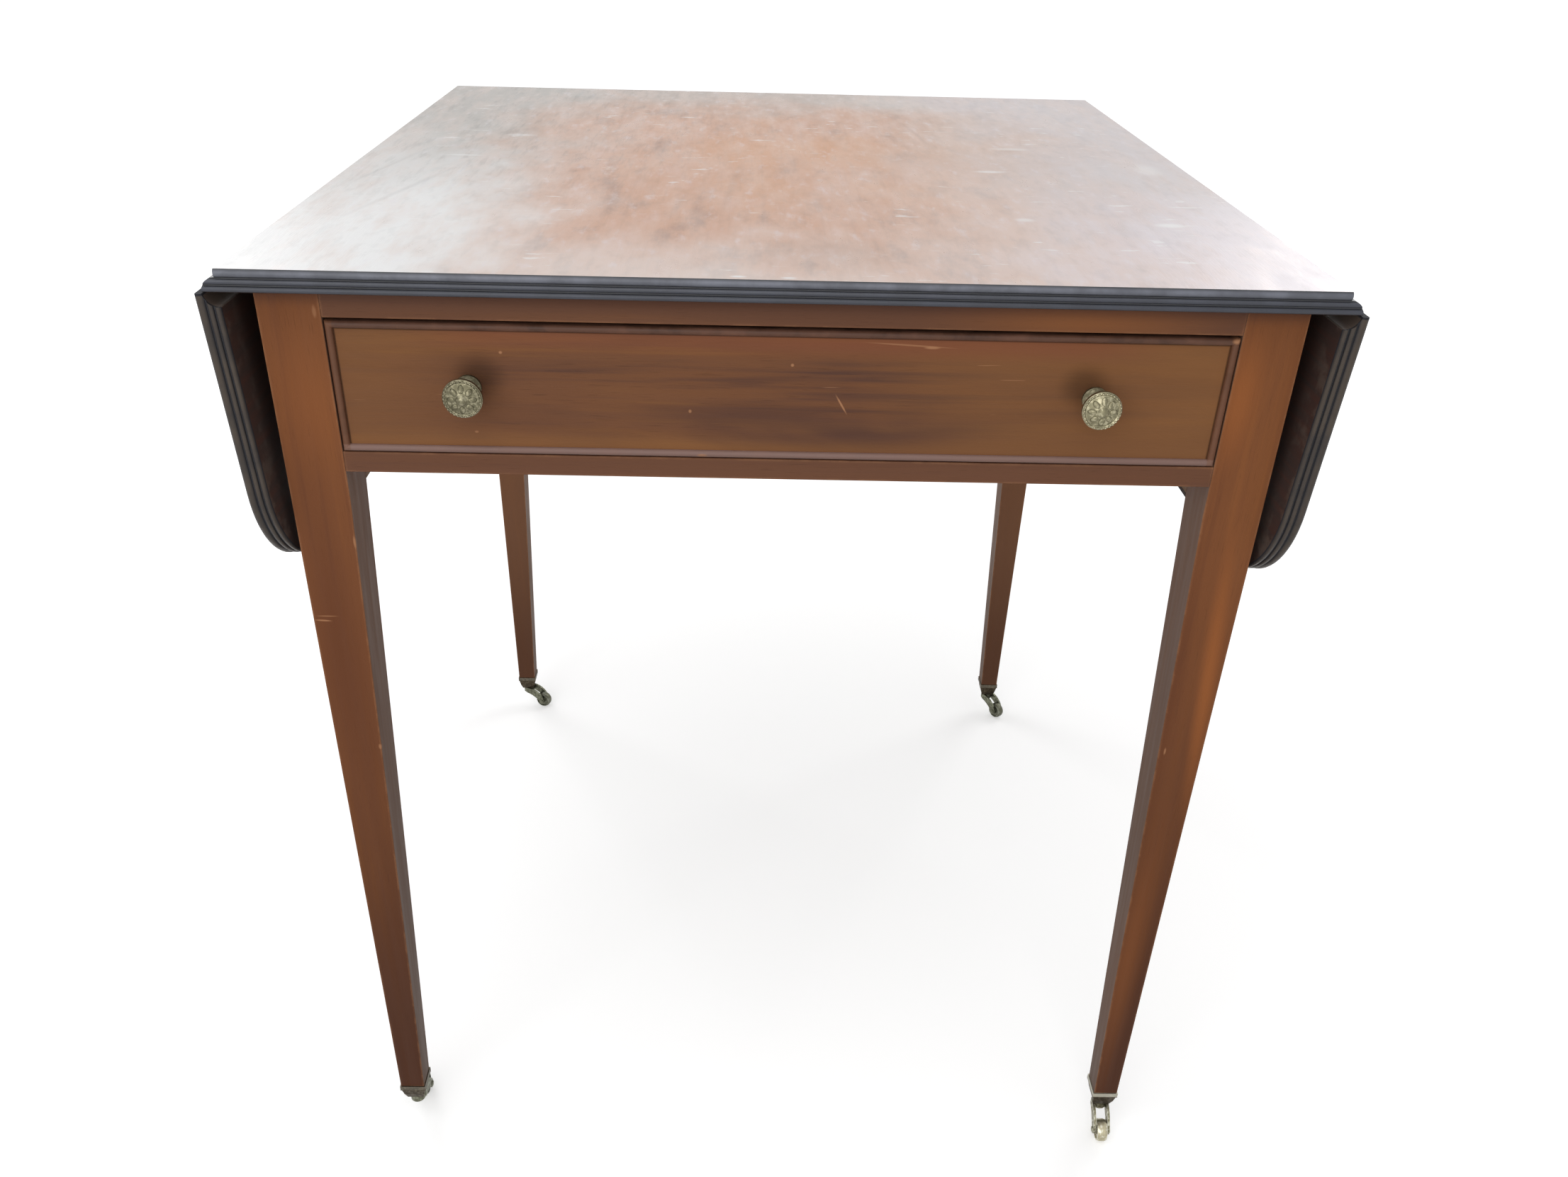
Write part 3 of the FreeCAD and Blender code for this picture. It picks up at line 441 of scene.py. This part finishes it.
def polish(finish, base, streaks, pores, smooth, rough, shine):
    """The last coat: its gloss follows the streaks, and the pores stay open."""
    finish.set(Base_Color=base, Roughness=finish.step(streaks, 0.3, 0.7, smooth, rough),
               Specular_IOR_Level=shine)
    finish.bump(pores, 0.25, 0.0003)


def dress(finish, *nodes):
    """Puts a finish in the slots of these CAD nodes."""
    for name in nodes:
        piece = frame["nodes"][name]
        piece.data.materials.clear()
        piece.data.materials.append(finish.material)


def soften(*nodes):
    """Rounds the sharp edges of CAD nodes a little, as on hand-planed wood."""
    for name in nodes:
        piece = frame["nodes"][name]
        weld = piece.modifiers.new("weld", "WELD")
        weld.merge_threshold = WELD_GAP
        rounding = piece.modifiers.new("arris", "BEVEL")
        rounding.width = ARRIS_ROUND
        rounding.segments = 2
        rounding.limit_method = "ANGLE"
        rounding.angle_limit = ARRIS_ANGLE
        rounding.use_clamp_overlap = True
        rounding.harden_normals = False


def faded_board(finish, x, y):
    """Mottled, faded mahogany under a bloomed polish, the bloom partly a painted reflection of the room's
    light: grey at the back, white at the front corners.
    """
    wood = settings().wood

    # faded wood, warmest in the middle, with streaks along the grain
    mottle = finish.noise(finish.stretch("Y", 17, 48), detail=5, rough=0.62)
    base = finish.blend3(mottle, wood.top_umber, wood.top_tan, wood.top_rose)
    patch = finish.step(finish.noise(finish.stretch("Y", 8, 15), detail=3), 0.38, 0.6)
    warm = finish.spot((0.03, 0.02, TOP_LEVEL), (0.20, 0.30, 1.0), soft=0.1)
    base = finish.mix(finish.times(warm, patch, 0.85), base, wood.top_ochre)
    streaks = finish.noise(finish.stretch("Y", 9, 210), detail=4)
    base = finish.darker(finish.step(streaks, 0.5, 0.7, 0.0, 0.6), base, 0.9)

    # bloom of the polish along the four edges, partly a painted reflection of the room's light, whose borders
    # wander: u goes from left to right, v from front to back
    cloud = finish.math("SUBTRACT", finish.noise(finish.stretch("Y", 6, 9), detail=5), 0.5)
    u = finish.math("ADD", finish.math("DIVIDE", x, TOP_HALF_WIDTH), finish.times(cloud, 0.9))
    from_middle = finish.math("SUBTRACT", y, TOP_MIDDLE)
    v = finish.math("ADD", finish.math("DIVIDE", from_middle, TOP_HALF_DEPTH), cloud)
    left = finish.step(u, -0.30, -0.76)
    right = finish.step(u, 0.0, 1.0, 0.0, 0.9)
    front = finish.step(v, -0.55, -1.05, 0.0, 0.5)
    back = finish.step(v, 0.45, 0.95, 0.0, 0.78)
    bloom_and_reflection = finish.either(left, right, front, back)
    pale = finish.mix(finish.step(u, 0.3, 0.8), wood.bloom_front, wood.bloom_right)
    clear = finish.either(finish.step(v, 0.6, -0.8), finish.step(u, 0.0, 0.8, 0.0, 0.55))
    bloom = finish.mix(clear, wood.bloom_back, pale)
    smear = finish.noise(finish.stretch("Y", 15, 60), detail=5, rough=0.6)
    base = finish.mix(finish.times(bloom_and_reflection, finish.step(smear, 0.32, 0.62, 0.76, 1.0)), base, bloom)

    # blotches, scuffs at the left, light dashes, dark streaks and worn places
    blotch = finish.noise(finish.stretch("Y", 42, 120), detail=4, rough=0.6)
    base = finish.darker(finish.step(blotch, 0.5, 0.34, 0.0, 0.7), base, 0.9)
    base = finish.mix(finish.step(blotch, 0.54, 0.74, 0.0, 0.3), base, wood.bloom_right)
    scuffed = finish.times(finish.step(u, 0.15, -0.45), finish.step(v, -0.7, 0.1))
    scuffs = finish.step(finish.noise(finish.stretch("Y", 26, 190), detail=5, rough=0.65), 0.5, 0.66)
    base = finish.darker(finish.times(scuffs, scuffed, 0.8), base, 0.8)
    where = finish.step(finish.noise(finish.place, scale=11, detail=2), 0.46, 0.6)
    dashes = finish.step(finish.noise(finish.stretch("X", 45, 120), detail=3), 0.63, 0.69)
    base = finish.mix(finish.times(dashes, where, 0.55), base, wood.bloom_front)
    for place, size, turn in TOP_STREAKS:
        dark = finish.spot((*place, TOP_LEVEL), (*size, 1.0), (0, 0, turn))
        base = finish.darker(finish.times(dark, 0.8), base, 0.84)
    for place, size, share in TOP_MARKS:
        mark = finish.spot((*place, TOP_LEVEL), (*size, 1.0), soft=0.2)
        base = finish.mix(finish.times(mark, share), base, wood.bloom_front)
    pores = finish.noise(finish.stretch("Y", 70, 1200), detail=2)
    return base, pores, smear


class PEMBROKE_OT_top(bpy.types.Operator):
    """Faded, bloomed mahogany for the fixed top, the bloom partly a painted reflection, with blackened reeds
    front and back
    """

    bl_idname = "pembroke.top"
    bl_label = "Finish the top"

    def execute(self, context):
        wood = settings().wood
        finish = Finish("top_mahogany")
        x, y, z = finish.axes(finish.place)
        base, pores, streaks = faded_board(finish, x, y)
        out = finish.math("ABSOLUTE", finish.math("SUBTRACT", y, TOP_MIDDLE))
        groove = TOP_HALF_DEPTH - wood.reed_depth
        # painted light from above: crests lighter towards the top face and darker towards the underside
        upper = finish.step(z, TOP_UNDER + 0.005, TOP_LEVEL - 0.002)
        crest = finish.mix(upper, wood.ebony_crest, wood.ebony_worn)
        black = reeds(finish, out, groove, TOP_HALF_DEPTH, crest)
        # the top's side of the rule joint painted black: grime and painted shade
        wide = finish.math("ABSOLUTE", x)
        joint = finish.step(wide, TOP_HALF_WIDTH + 0.0001, TOP_HALF_WIDTH + 0.0004)
        base = finish.mix(joint, base, wood.ebony)
        edge = reeded(finish, out, groove)
        base = finish.mix(edge, base, black)
        under = finish.step(z, TOP_UNDER + 0.0006, TOP_UNDER + 0.0002)
        base = finish.mix(under, base, wood.leaf_inside)
        polish(finish, base, finish.either(streaks, edge), pores, 0.27, 0.42, 0.5)
        dress(finish, "table_top")
        return {"FINISHED"}


class PEMBROKE_OT_leaves(bpy.types.Operator):
    """Red-brown mahogany for the drop leaves: grimy inside, with blackened reeds on three edges"""

    bl_idname = "pembroke.leaves"
    bl_label = "Finish the leaves"

    def execute(self, context):
        wood = settings().wood
        corner = wood.leaf_corner
        for side in SIDES:
            finish = Finish("leaf_mahogany_" + side)
            joint = LEAF_JOINTS["leaf_" + side + "_body"]
            lean = math.radians(joint["range_deg"][1] - 90)
            sign = math.copysign(1, joint["pos_m"][0])
            down = (-sign * math.sin(lean), 0, -math.cos(lean))
            outward = (sign * math.cos(lean), 0, -math.sin(lean))

            # where a point of the hanging leaf lies: down it, out through its thickness, and along the pins
            from_pin = finish.vector("SUBTRACT", finish.place, joint["pos_m"]).outputs[0]
            along = finish.vector("DOT_PRODUCT", from_pin, down).outputs["Value"]
            thick = finish.vector("DOT_PRODUCT", from_pin, outward).outputs["Value"]
            y = finish.axes(from_pin)[1]

            base, pores, streaks = wood_grain(finish, "Y", wood.leaf_dark, wood.leaf_brown, wood.leaf_pale)
            base = rubbed_and_highlit(finish, base, 0.5)
            darkened = finish.mix(finish.step(streaks, 0.35, 0.75, 0.0, 0.4), wood.leaf_inside, wood.leaf_dark)
            squares = [finish.math("POWER", value, 2.0) for value in (along, thick)]
            hollow = finish.math("SQRT", finish.math("ADD", *squares))

            # how near its reeded edge a point lies, also round the corners
            end = finish.math("SUBTRACT", finish.math("ABSOLUTE", y), TOP_HALF_DEPTH - corner)
            foot = finish.math("SUBTRACT", along, wood.leaf_reach - corner)
            squares = [finish.math("POWER", finish.math("MAXIMUM", value, 0.0), 2.0) for value in (end, foot)]
            out = finish.math("SQRT", finish.math("ADD", *squares))
            groove = corner - wood.reed_depth

            # grimy inside with rubbed borders, a rubbed hollow, black reeds and a lip painted black as painted
            # shade
            patchy = finish.step(finish.noise(finish.place, scale=55, detail=4), 0.46, 0.62)
            border = finish.times(finish.step(out, groove - 0.03, groove - 0.001), patchy, 0.7)
            inside = finish.step(thick, *INSIDE_EDGE)
            base = finish.mix(inside, base, finish.mix(border, darkened, wood.leaf_rubbed))
            base = finish.mix(finish.step(hollow, *HOLLOW_EDGE), base, wood.leaf_rubbed)
            black = reeds(finish, out, groove, corner, wood.leaf_edge)
            base = finish.mix(reeded(finish, out, groove), base, black)
            # the lip painted black: painted shade in the hollow of the joint
            lip = finish.step(along, *LIP_EDGE)
            base = finish.mix(lip, base, wood.ebony)
            polished = finish.step(streaks, 0.3, 0.7, 0.34, 0.46)
            dull = finish.mix(finish.either(inside, lip), polished, UNPOLISHED)
            finish.set(Base_Color=base, Roughness=dull, Specular_IOR_Level=0.2)
            finish.bump(pores, 0.25, 0.0003)
            dress(finish, "leaf_" + side)
        return {"FINISHED"}


class PEMBROKE_OT_carcase(bpy.types.Operator):
    """Satin mahogany for legs, rails and apron, its grain along each piece"""

    bl_idname = "pembroke.carcase"
    bl_label = "Finish the carcase"

    def execute(self, context):
        wood = settings().wood
        legs = ["leg_" + corner for corner in CORNERS]
        rails = ["upper_drawer_rail", "lower_drawer_rail", "back_apron"]
        leg_colours = (wood.leg_dark, wood.leg_brown, wood.leg_pale)
        rail_colours = (wood.rail_dark, wood.rail_brown, wood.rail_pale)
        for name, grain, colours, pieces in (("leg_mahogany", "Z", leg_colours, legs),
                                             ("rail_mahogany", "X", rail_colours, rails)):
            finish = Finish(name)
            base, pores, streaks = wood_grain(finish, grain, *colours, 0.28)
            x, y, z = finish.axes(finish.place)
            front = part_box(pieces[0])[0][1]

            # painted shade towards the feet, patchy in front, painted light on the back legs and apron,
            # painted shade under the top, greyer on the faces that turn inward
            base = finish.mix(finish.step(z, 0.60, 0.06, 0.0, 0.85), base, wood.foot_dark)
            for place, size, turn, share, tone in FRONT_PATCHES:
                patch = finish.front_spot(front, place, size, 0.06, turn)
                base = finish.mix(finish.times(patch, share), base, getattr(wood, tone))
            # painted light on the back legs and apron, strongest higher up
            back_light = finish.times(finish.step(y, 0.1, 0.2), finish.step(z, 0.06, 0.28, 0.11, 0.27))
            base = finish.mix(back_light, base, wood.leg_back)
            # painted shade under the top's overhang, in the rails' dark colour
            darkened = finish.step(z, TOP_UNDER - 0.014, TOP_UNDER, 0.0, 0.7)
            base = finish.mix(darkened, base, wood.rail_dark)
            facing = finish.axes(finish.add("NewGeometry").outputs["Normal"])[0]
            inward = finish.times(facing, finish.math("SIGN", x), -1.0)
            base = finish.mix(finish.step(inward, 0.6, 0.9, 0.0, 0.6), base, wood.dust)

            for place, size, turn, share in LEG_MARKS:
                mark = finish.front_spot(front, place, size, 0.003, turn, 0.3)
                base = finish.mix(finish.times(mark, share), base, wood.bare)
            base = rubbed_and_highlit(finish, base, 1.0)
            polish(finish, base, streaks, pores, 0.55, 0.7, 0.12)
            dress(finish, *pieces)
            soften(*pieces)
        return {"FINISHED"}


class PEMBROKE_OT_drawer(bpy.types.Operator):
    """Brown mahogany for the drawer front with smoky streaks, and its mauve bead"""

    bl_idname = "pembroke.drawer"
    bl_label = "Finish the drawer"

    def execute(self, context):
        wood = settings().wood
        finish = Finish("drawer_mahogany")
        colours = (wood.drawer_dark, wood.drawer_brown, wood.drawer_pale)
        base, pores, streaks = wood_grain(finish, "X", *colours, 0.17)
        (_, front, low), (right, _, high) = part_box("drawer_front")
        middle = (low + high) / 2
        inner = right - BEAD_WIDTH
        x, _, z = finish.axes(finish.place)

        # paler ends and right half, a red stripe above and a pale one below
        ends = finish.step(finish.math("ABSOLUTE", x), 0.15, 0.25)
        base = finish.mix(finish.times(ends, 0.6), base, wood.drawer_pale)
        base = finish.mix(finish.step(x, 0.03, 0.13, 0.0, 0.55), base, wood.drawer_pale)
        red = finish.times(finish.step(z, high - 0.020, high - 0.007), finish.step(ends, 1.0, 0.0), 0.7)
        base = finish.mix(red, base, wood.drawer_red)
        base = finish.mix(finish.step(z, low + 0.018, low + 0.006, 0.0, 0.7), base, wood.drawer_pale)

        # smoky streaks along the middle, and shade behind the knobs and inside the bead
        smoke = finish.step(finish.noise(finish.stretch("X", 3.2, 17), detail=4, swirl=0.4), 0.36, 0.58)
        band = finish.front_spot(front, (0.0, middle - 0.012), (0.19, 0.034))
        base = finish.mix(finish.times(smoke, finish.step(band, 0.0, 0.7, 0.24, 1.0)), base, wood.drawer_dark)
        smudge = finish.front_spot(front, (-0.02, middle - 0.013), (0.09, 0.014))
        base = finish.mix(finish.times(smudge, 0.75), base, wood.drawer_dark)
        for side in SIDES:
            knob_low, knob_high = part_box("knob_" + side)
            across = (knob_low[0] + knob_high[0]) / 2
            behind = (across - math.copysign(0.007, across), (knob_low[2] + knob_high[2]) / 2 + 0.007)
            shade = finish.front_spot(front, behind, (0.019, 0.017), soft=0.2)
            base = finish.darker(finish.times(shade, 0.85), base, 0.5)
        rims = (finish.step(finish.math("ABSOLUTE", x), inner - 0.0012, inner - 0.0003),
                finish.step(z, high - BEAD_WIDTH - 0.0012, high - BEAD_WIDTH - 0.0003))
        base = finish.darker(finish.times(finish.either(*rims), 0.9), base, 0.3)

        marks = scratches(finish, (0, 0.9, 0), along=30, across=900, rare=0.74)
        base = finish.mix(finish.times(marks, 0.5), base, wood.bare)
        for place, size, turn, share in DRAWER_MARKS:
            mark = finish.front_spot(front, place, size, turn=turn, soft=0.3)
            base = finish.mix(finish.times(mark, share), base, wood.bare)
        polish(finish, base, streaks, pores, 0.5, 0.65, 0.15)
        dress(finish, "drawer_front")

        # the bead, with a painted mauve highlight along the bottom and browner at the ends
        bead = Finish("bead_mahogany")
        tone = bead.noise(bead.place, scale=60, detail=3)
        dark = tuple(value * 0.6 for value in wood.bead)
        pale = tuple(min(1, value * 1.35) for value in wood.bead)
        base = rubbed_and_highlit(bead, bead.blend3(tone, dark, wood.bead, pale), 0.3)
        x, _, z = bead.axes(bead.place)
        # painted highlight along the lower bead
        lower = bead.step(z, low + BEAD_WIDTH + 0.0006, low + BEAD_WIDTH, 0.0, 0.75)
        base = bead.mix(lower, base, wood.bead_mauve)
        upright = bead.step(bead.math("ABSOLUTE", x), inner - 0.0006, inner, 0.0, 0.45)
        base = bead.mix(upright, base, wood.drawer_brown)
        for place, size, share in BEAD_CHIPS_AND_HIGHLIGHT:
            mark = bead.front_spot(front, place, size, soft=0.3)
            base = bead.mix(bead.times(mark, share), base, wood.bare)
        polish(bead, base, tone, tone, 0.4, 0.55, 0.22)
        dress(bead, *("cockbead_" + place for place in ("top", "bottom", "left", "right")))
        return {"FINISHED"}


class PEMBROKE_OT_inner_wood(bpy.types.Operator):
    """Bare, browned oak for the pieces that nobody polishes"""

    bl_idname = "pembroke.inner_wood"
    bl_label = "Finish the inner wood"

    def execute(self, context):
        wood = settings().wood
        middle = tuple((a + b) / 2 for a, b in zip(wood.oak_pale, wood.oak_dark))
        parts = ("drawer_runner", "drawer_kicker", "drawer_side", "side_rail", "fly_rail", "fly_rail_end",
                 "fly_bracket")
        lengthwise = [part + "_" + side for part in parts for side in SIDES]
        crosswise = ["drawer_back", "drawer_bottom", "drawer_stops", "glue_blocks"]
        for name, grain, pieces in (("oak_along", "Y", lengthwise), ("oak_across", "X", crosswise)):
            finish = Finish(name)
            base, pores, streaks = wood_grain(finish, grain, wood.oak_dark, middle, wood.oak_pale)
            polish(finish, base, streaks, pores, 0.62, 0.75, 0.3)
            dress(finish, *pieces)
        return {"FINISHED"}


def aged_metal(name, bright, dull, rough, grain=420):
    """Metal that is rubbed on its high parts and dull in its hollows."""
    finish = Finish(name)
    grime = finish.noise(finish.place, scale=grain, detail=4)
    rubbed = finish.either(finish.arris(METAL_WEAR), finish.step(grime, 0.45, 0.65, 0.0, 0.75))
    finish.set(Base_Color=finish.mix(rubbed, dull, bright), Metallic=1.0,
               Roughness=finish.step(grime, 0.3, 0.7, rough + 0.15, rough))
    finish.bump(grime, 0.2, 0.0002)
    return finish


def rim_band_and_highlight(finish, level, width, colour):
    """A brighter band below the rim of the cups, partly rubbed and partly a painted highlight, most of all on
    the front right one.
    """
    x, y, z = finish.axes(finish.place)
    band = finish.step(z, level - width, level - width * 0.7)
    one = finish.times(finish.step(x, 0.0, 0.05), finish.step(y, 0.0, -0.05))
    share = finish.times(band, finish.step(one, 0.0, 1.0, 0.08, 0.5))
    finish.set(Base_Color=finish.mix(share, finish.painted(), colour))


def knob_brass(name, rough):
    """Brass for the knobs, of which the left one is the darker."""
    metal = settings().metal
    finish = aged_metal(name, metal.knob, metal.knob_dull, rough)
    left = finish.step(finish.axes(finish.place)[0], 0.05, -0.05)
    finish.set(Base_Color=finish.darker(left, finish.painted(), metal.knob_left))
    return finish


class PEMBROKE_OT_metal(bpy.types.Operator):
    """Tarnished brass for casters and knobs, dark iron for hinges and screws"""

    bl_idname = "pembroke.metal"
    bl_label = "Finish the metal"

    def execute(self, context):
        metal = settings().metal
        dress(knob_brass("knob_brass", 0.36), "knob_left", "knob_right")
        cups = aged_metal("cup_bronze", metal.cup, metal.bronze, 0.45)
        rim_band_and_highlight(cups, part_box("caster_cups")[1][2], RIM_BAND, metal.wheel)
        dress(cups, "caster_cups")
        # the front right caster gets brighter copies of the fork and wheel metal: painted light
        lit_fork = aged_metal("fork_lit_front_right", metal.fork_bright, metal.brass_dull, 0.36)
        lit_wheel = aged_metal("wheel_lit_front_right", metal.wheel, metal.brass, 0.34, 300)
        fork = aged_metal("fork_tarnished", metal.fork, metal.fork_dull, 0.4)
        wheel = aged_metal("wheel_tarnished", metal.wheel_dull, metal.fork_dull, 0.4, 300)
        for corner in CORNERS:
            rubbed = corner == "front_right"
            dress(lit_fork if rubbed else fork, "caster_fork_" + corner, "caster_axle_" + corner)
            dress(lit_wheel if rubbed else wheel, "caster_wheel_" + corner)
        iron = aged_metal("dark_iron", tuple(value * 1.5 for value in metal.iron), metal.iron, 0.5)
        dress(iron, "top_screws", "hinge_plates_top", "hinge_pins", "hinge_screws_top", "knuckle_pins",
              "knob_nuts")
        dress(iron, *("hinge_" + part + "_leaf_" + side for part in ("plates", "screws") for side in SIDES))
        return {"FINISHED"}


def rosette(metal, middle, tip):
    """Low petals on the dished face of a knob, whose boss ends at the tip, and beads round its rim."""
    mesh = bmesh.new()
    place = Matrix.Translation((middle[0], tip, middle[1]))
    lie = Matrix.Rotation(math.atan2(DISH_FALL, DISH_OUTER - DISH_INNER), 4, "Z")
    back = DISH_FRONT + DISH_FALL * (metal.petal_ring - DISH_INNER) / (DISH_OUTER - DISH_INNER)
    shape = Matrix.Diagonal((metal.petal_length, metal.petal_rise, metal.petal_width, 1))
    spot = Matrix.Translation((metal.petal_ring, back, 0))
    for index in range(metal.petals):
        made = bmesh.ops.create_uvsphere(mesh, u_segments=14, v_segments=8, radius=1)["verts"]
        turn = Matrix.Rotation(2 * math.pi * index / metal.petals, 4, "Y")
        bmesh.ops.transform(mesh, matrix=place @ turn @ spot @ lie @ shape, verts=made)
    for index in range(metal.beads):
        made = bmesh.ops.create_uvsphere(mesh, u_segments=8, v_segments=5, radius=metal.bead_size)["verts"]
        turn = Matrix.Rotation(2 * math.pi * index / metal.beads, 4, "Y")
        spot = Matrix.Translation((metal.bead_ring, BEAD_BACK, 0))
        bmesh.ops.transform(mesh, matrix=place @ turn @ spot, verts=made)
    bmesh.ops.recalc_face_normals(mesh, faces=mesh.faces)
    return mesh


class PEMBROKE_OT_rosettes(bpy.types.Operator):
    """Cast petals and rim beads on the face of each knob"""

    bl_idname = "pembroke.rosettes"
    bl_label = "Add the knobs' rosettes"

    def execute(self, context):
        metal = settings().metal
        finish = knob_brass("rosette_brass", 0.3)
        for side in SIDES:
            low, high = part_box("knob_" + side)
            made = rosette(metal, ((low[0] + high[0]) / 2, (low[2] + high[2]) / 2), low[1])
            name = "knob_rosette_" + side
            mesh = bpy.data.meshes.new(name)
            made.to_mesh(mesh)
            made.free()
            mesh.shade_smooth()
            mesh.materials.append(finish.material)
            piece = bpy.data.objects.new(name, mesh)
            context.scene.collection.objects.link(piece)
            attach(piece, "drawer")
        return {"FINISHED"}


def camera_axes(yaw, pitch, roll):
    """The camera's right, up and back directions in the table's frame."""
    about_up = Matrix(((math.cos(yaw), -math.sin(yaw), 0), (math.sin(yaw), math.cos(yaw), 0), (0, 0, 1)))
    level = Matrix(((1, 0, 0), (0, 0, -1), (0, 1, 0)))
    nod = Matrix(((1, 0, 0), (0, math.cos(pitch), -math.sin(pitch)), (0, math.sin(pitch), math.cos(pitch))))
    tilt = Matrix(((math.cos(roll), -math.sin(roll), 0), (math.sin(roll), math.cos(roll), 0), (0, 0, 1)))
    rows = tilt @ nod @ level @ about_up
    return Matrix((rows[0], -rows[1], -rows[2])).transposed()


def soft_lamp(context, name, place, aim, size, power):
    """A rectangular lamp that faces its aim."""
    lamp = bpy.data.lights.new(name, "AREA")
    lamp.shape = "RECTANGLE"
    lamp.size, lamp.size_y = size
    lamp.energy = power
    holder = bpy.data.objects.new(name, lamp)
    holder.location = place
    holder.rotation_euler = (Vector(aim) - Vector(place)).to_track_quat("-Z", "Y").to_euler()
    context.scene.collection.objects.link(holder)


def lay_floor(context, stage):
    """A plain pale floor, white where the camera or a gloss sees it in the open."""
    mesh = bmesh.new()
    bmesh.ops.create_grid(mesh, x_segments=1, y_segments=1, size=FLOOR_REACH)
    data = bpy.data.meshes.new("floor")
    mesh.to_mesh(data)
    mesh.free()
    floor = bpy.data.objects.new("floor", data)
    context.scene.collection.objects.link(floor)
    paint = Finish("floor_paint")
    rays = paint.add("LightPath").outputs
    seen = paint.either(rays["Is Camera Ray"], rays["Is Glossy Ray"], rays["Is Transmission Ray"])
    speckle = paint.step(paint.noise(paint.place, scale=3, detail=2), 0.3, 0.7, 0.0, 0.02)
    shown = paint.mix(speckle, stage.floor, (0.8, 0.8, 0.8))
    far = paint.step(paint.vector("LENGTH", paint.place).outputs["Value"], 0.6, 2.2, 0.36, 0.62)
    paint.set(Base_Color=paint.mix(seen, stage.bounce, shown), Roughness=0.9, Specular_IOR_Level=0.0,
              Emission_Color=(1, 1, 1), Emission_Strength=paint.times(seen, far))
    data.materials.append(paint.material)


def light_room(context, stage):
    """Even light from all round, a white background for the camera, and four soft lamps."""
    world = bpy.data.worlds.new("studio")
    context.scene.world = world
    world.use_nodes = True
    nodes = world.node_tree.nodes
    links = world.node_tree.links
    rays = nodes.new("ShaderNodeLightPath")
    seen = rays.outputs["Is Camera Ray"]
    for name in ("Is Glossy Ray", "Is Transmission Ray"):
        either = nodes.new("ShaderNodeMath")
        either.operation = "MAXIMUM"
        links.new(seen, either.inputs[0])
        links.new(rays.outputs[name], either.inputs[1])
        seen = either.outputs[0]
    strength = nodes.new("ShaderNodeMapRange")
    strength.inputs["To Min"].default_value = stage.sky
    strength.inputs["To Max"].default_value = 1.0
    links.new(seen, strength.inputs["Value"])
    nodes["Background"].inputs["Color"].default_value = (1, 1, 1, 1)
    links.new(strength.outputs[0], nodes["Background"].inputs["Strength"])
    soft_lamp(context, "key", (-0.5, -0.7, 2.7), (0, 0, 0.5), (2.4, 2.0), stage.key)
    soft_lamp(context, "front", (-0.6, -2.2, 1.2), (0, 0, 0.4), (2.2, 1.6), stage.front)
    soft_lamp(context, "side_left", (-1.5, 1.6, 1.6), (-0.2, 0, 0.7), (1.0, 0.9), stage.side)
    soft_lamp(context, "side_right", (1.5, 1.6, 1.6), (0.2, 0, 0.7), (1.0, 0.9), stage.side)


def set_camera(context, stage):
    """The camera that took the photo, as fitted to the table's corners and feet."""
    camera = bpy.data.cameras.new("camera")
    camera.sensor_fit = "HORIZONTAL"
    camera.sensor_width = SENSOR_WIDTH
    camera.lens = SENSOR_WIDTH * stage.focal / PHOTO_WIDTH
    camera.shift_x, camera.shift_y = stage.shift
    camera.clip_end = 100
    holder = bpy.data.objects.new("camera", camera)
    axes = camera_axes(stage.yaw, stage.pitch, stage.roll)
    holder.matrix_world = Matrix.Translation(stage.place) @ axes.to_4x4()
    context.scene.collection.objects.link(holder)
    context.scene.camera = holder


class PEMBROKE_OT_stage(bpy.types.Operator):
    """Pale floor, soft lamps and the photo's camera"""

    bl_idname = "pembroke.stage"
    bl_label = "Set the stage"

    def execute(self, context):
        stage = settings().stage
        context.scene.view_settings.view_transform = "Standard"
        lay_floor(context, stage)
        light_room(context, stage)
        set_camera(context, stage)
        return {"FINISHED"}


OPERATORS = (PEMBROKE_OT_top, PEMBROKE_OT_leaves, PEMBROKE_OT_carcase, PEMBROKE_OT_drawer,
             PEMBROKE_OT_inner_wood, PEMBROKE_OT_metal, PEMBROKE_OT_rosettes, PEMBROKE_OT_stage)


class PEMBROKE_PT_panel(bpy.types.Panel):
    """Lists the steps of the table's finish"""

    bl_idname = "PEMBROKE_PT_panel"
    bl_label = "Pembroke table"
    bl_space_type = "VIEW_3D"
    bl_region_type = "UI"
    bl_category = "Table"

    def draw(self, context):
        for operator in OPERATORS:
            self.layout.operator(operator.bl_idname)
        for group in (settings().wood, settings().metal, settings().stage):
            column = self.layout.column()
            for name in group.__annotations__:
                column.prop(group, name)


CLASSES = (WoodSettings, MetalSettings, StageSettings, TableSettings) + OPERATORS + (PEMBROKE_PT_panel,)


def register():
    for cls in CLASSES:
        bpy.utils.register_class(cls)
    bpy.types.Scene.pembroke = PointerProperty(type=TableSettings)


def unregister():
    del bpy.types.Scene.pembroke
    for cls in reversed(CLASSES):
        bpy.utils.unregister_class(cls)


def main():
    register()
    bpy.ops.pembroke.top()
    bpy.ops.pembroke.leaves()
    bpy.ops.pembroke.carcase()
    bpy.ops.pembroke.drawer()
    bpy.ops.pembroke.inner_wood()
    bpy.ops.pembroke.metal()
    bpy.ops.pembroke.rosettes()
    bpy.ops.pembroke.stage()


if __name__ == "__main__":
    main()
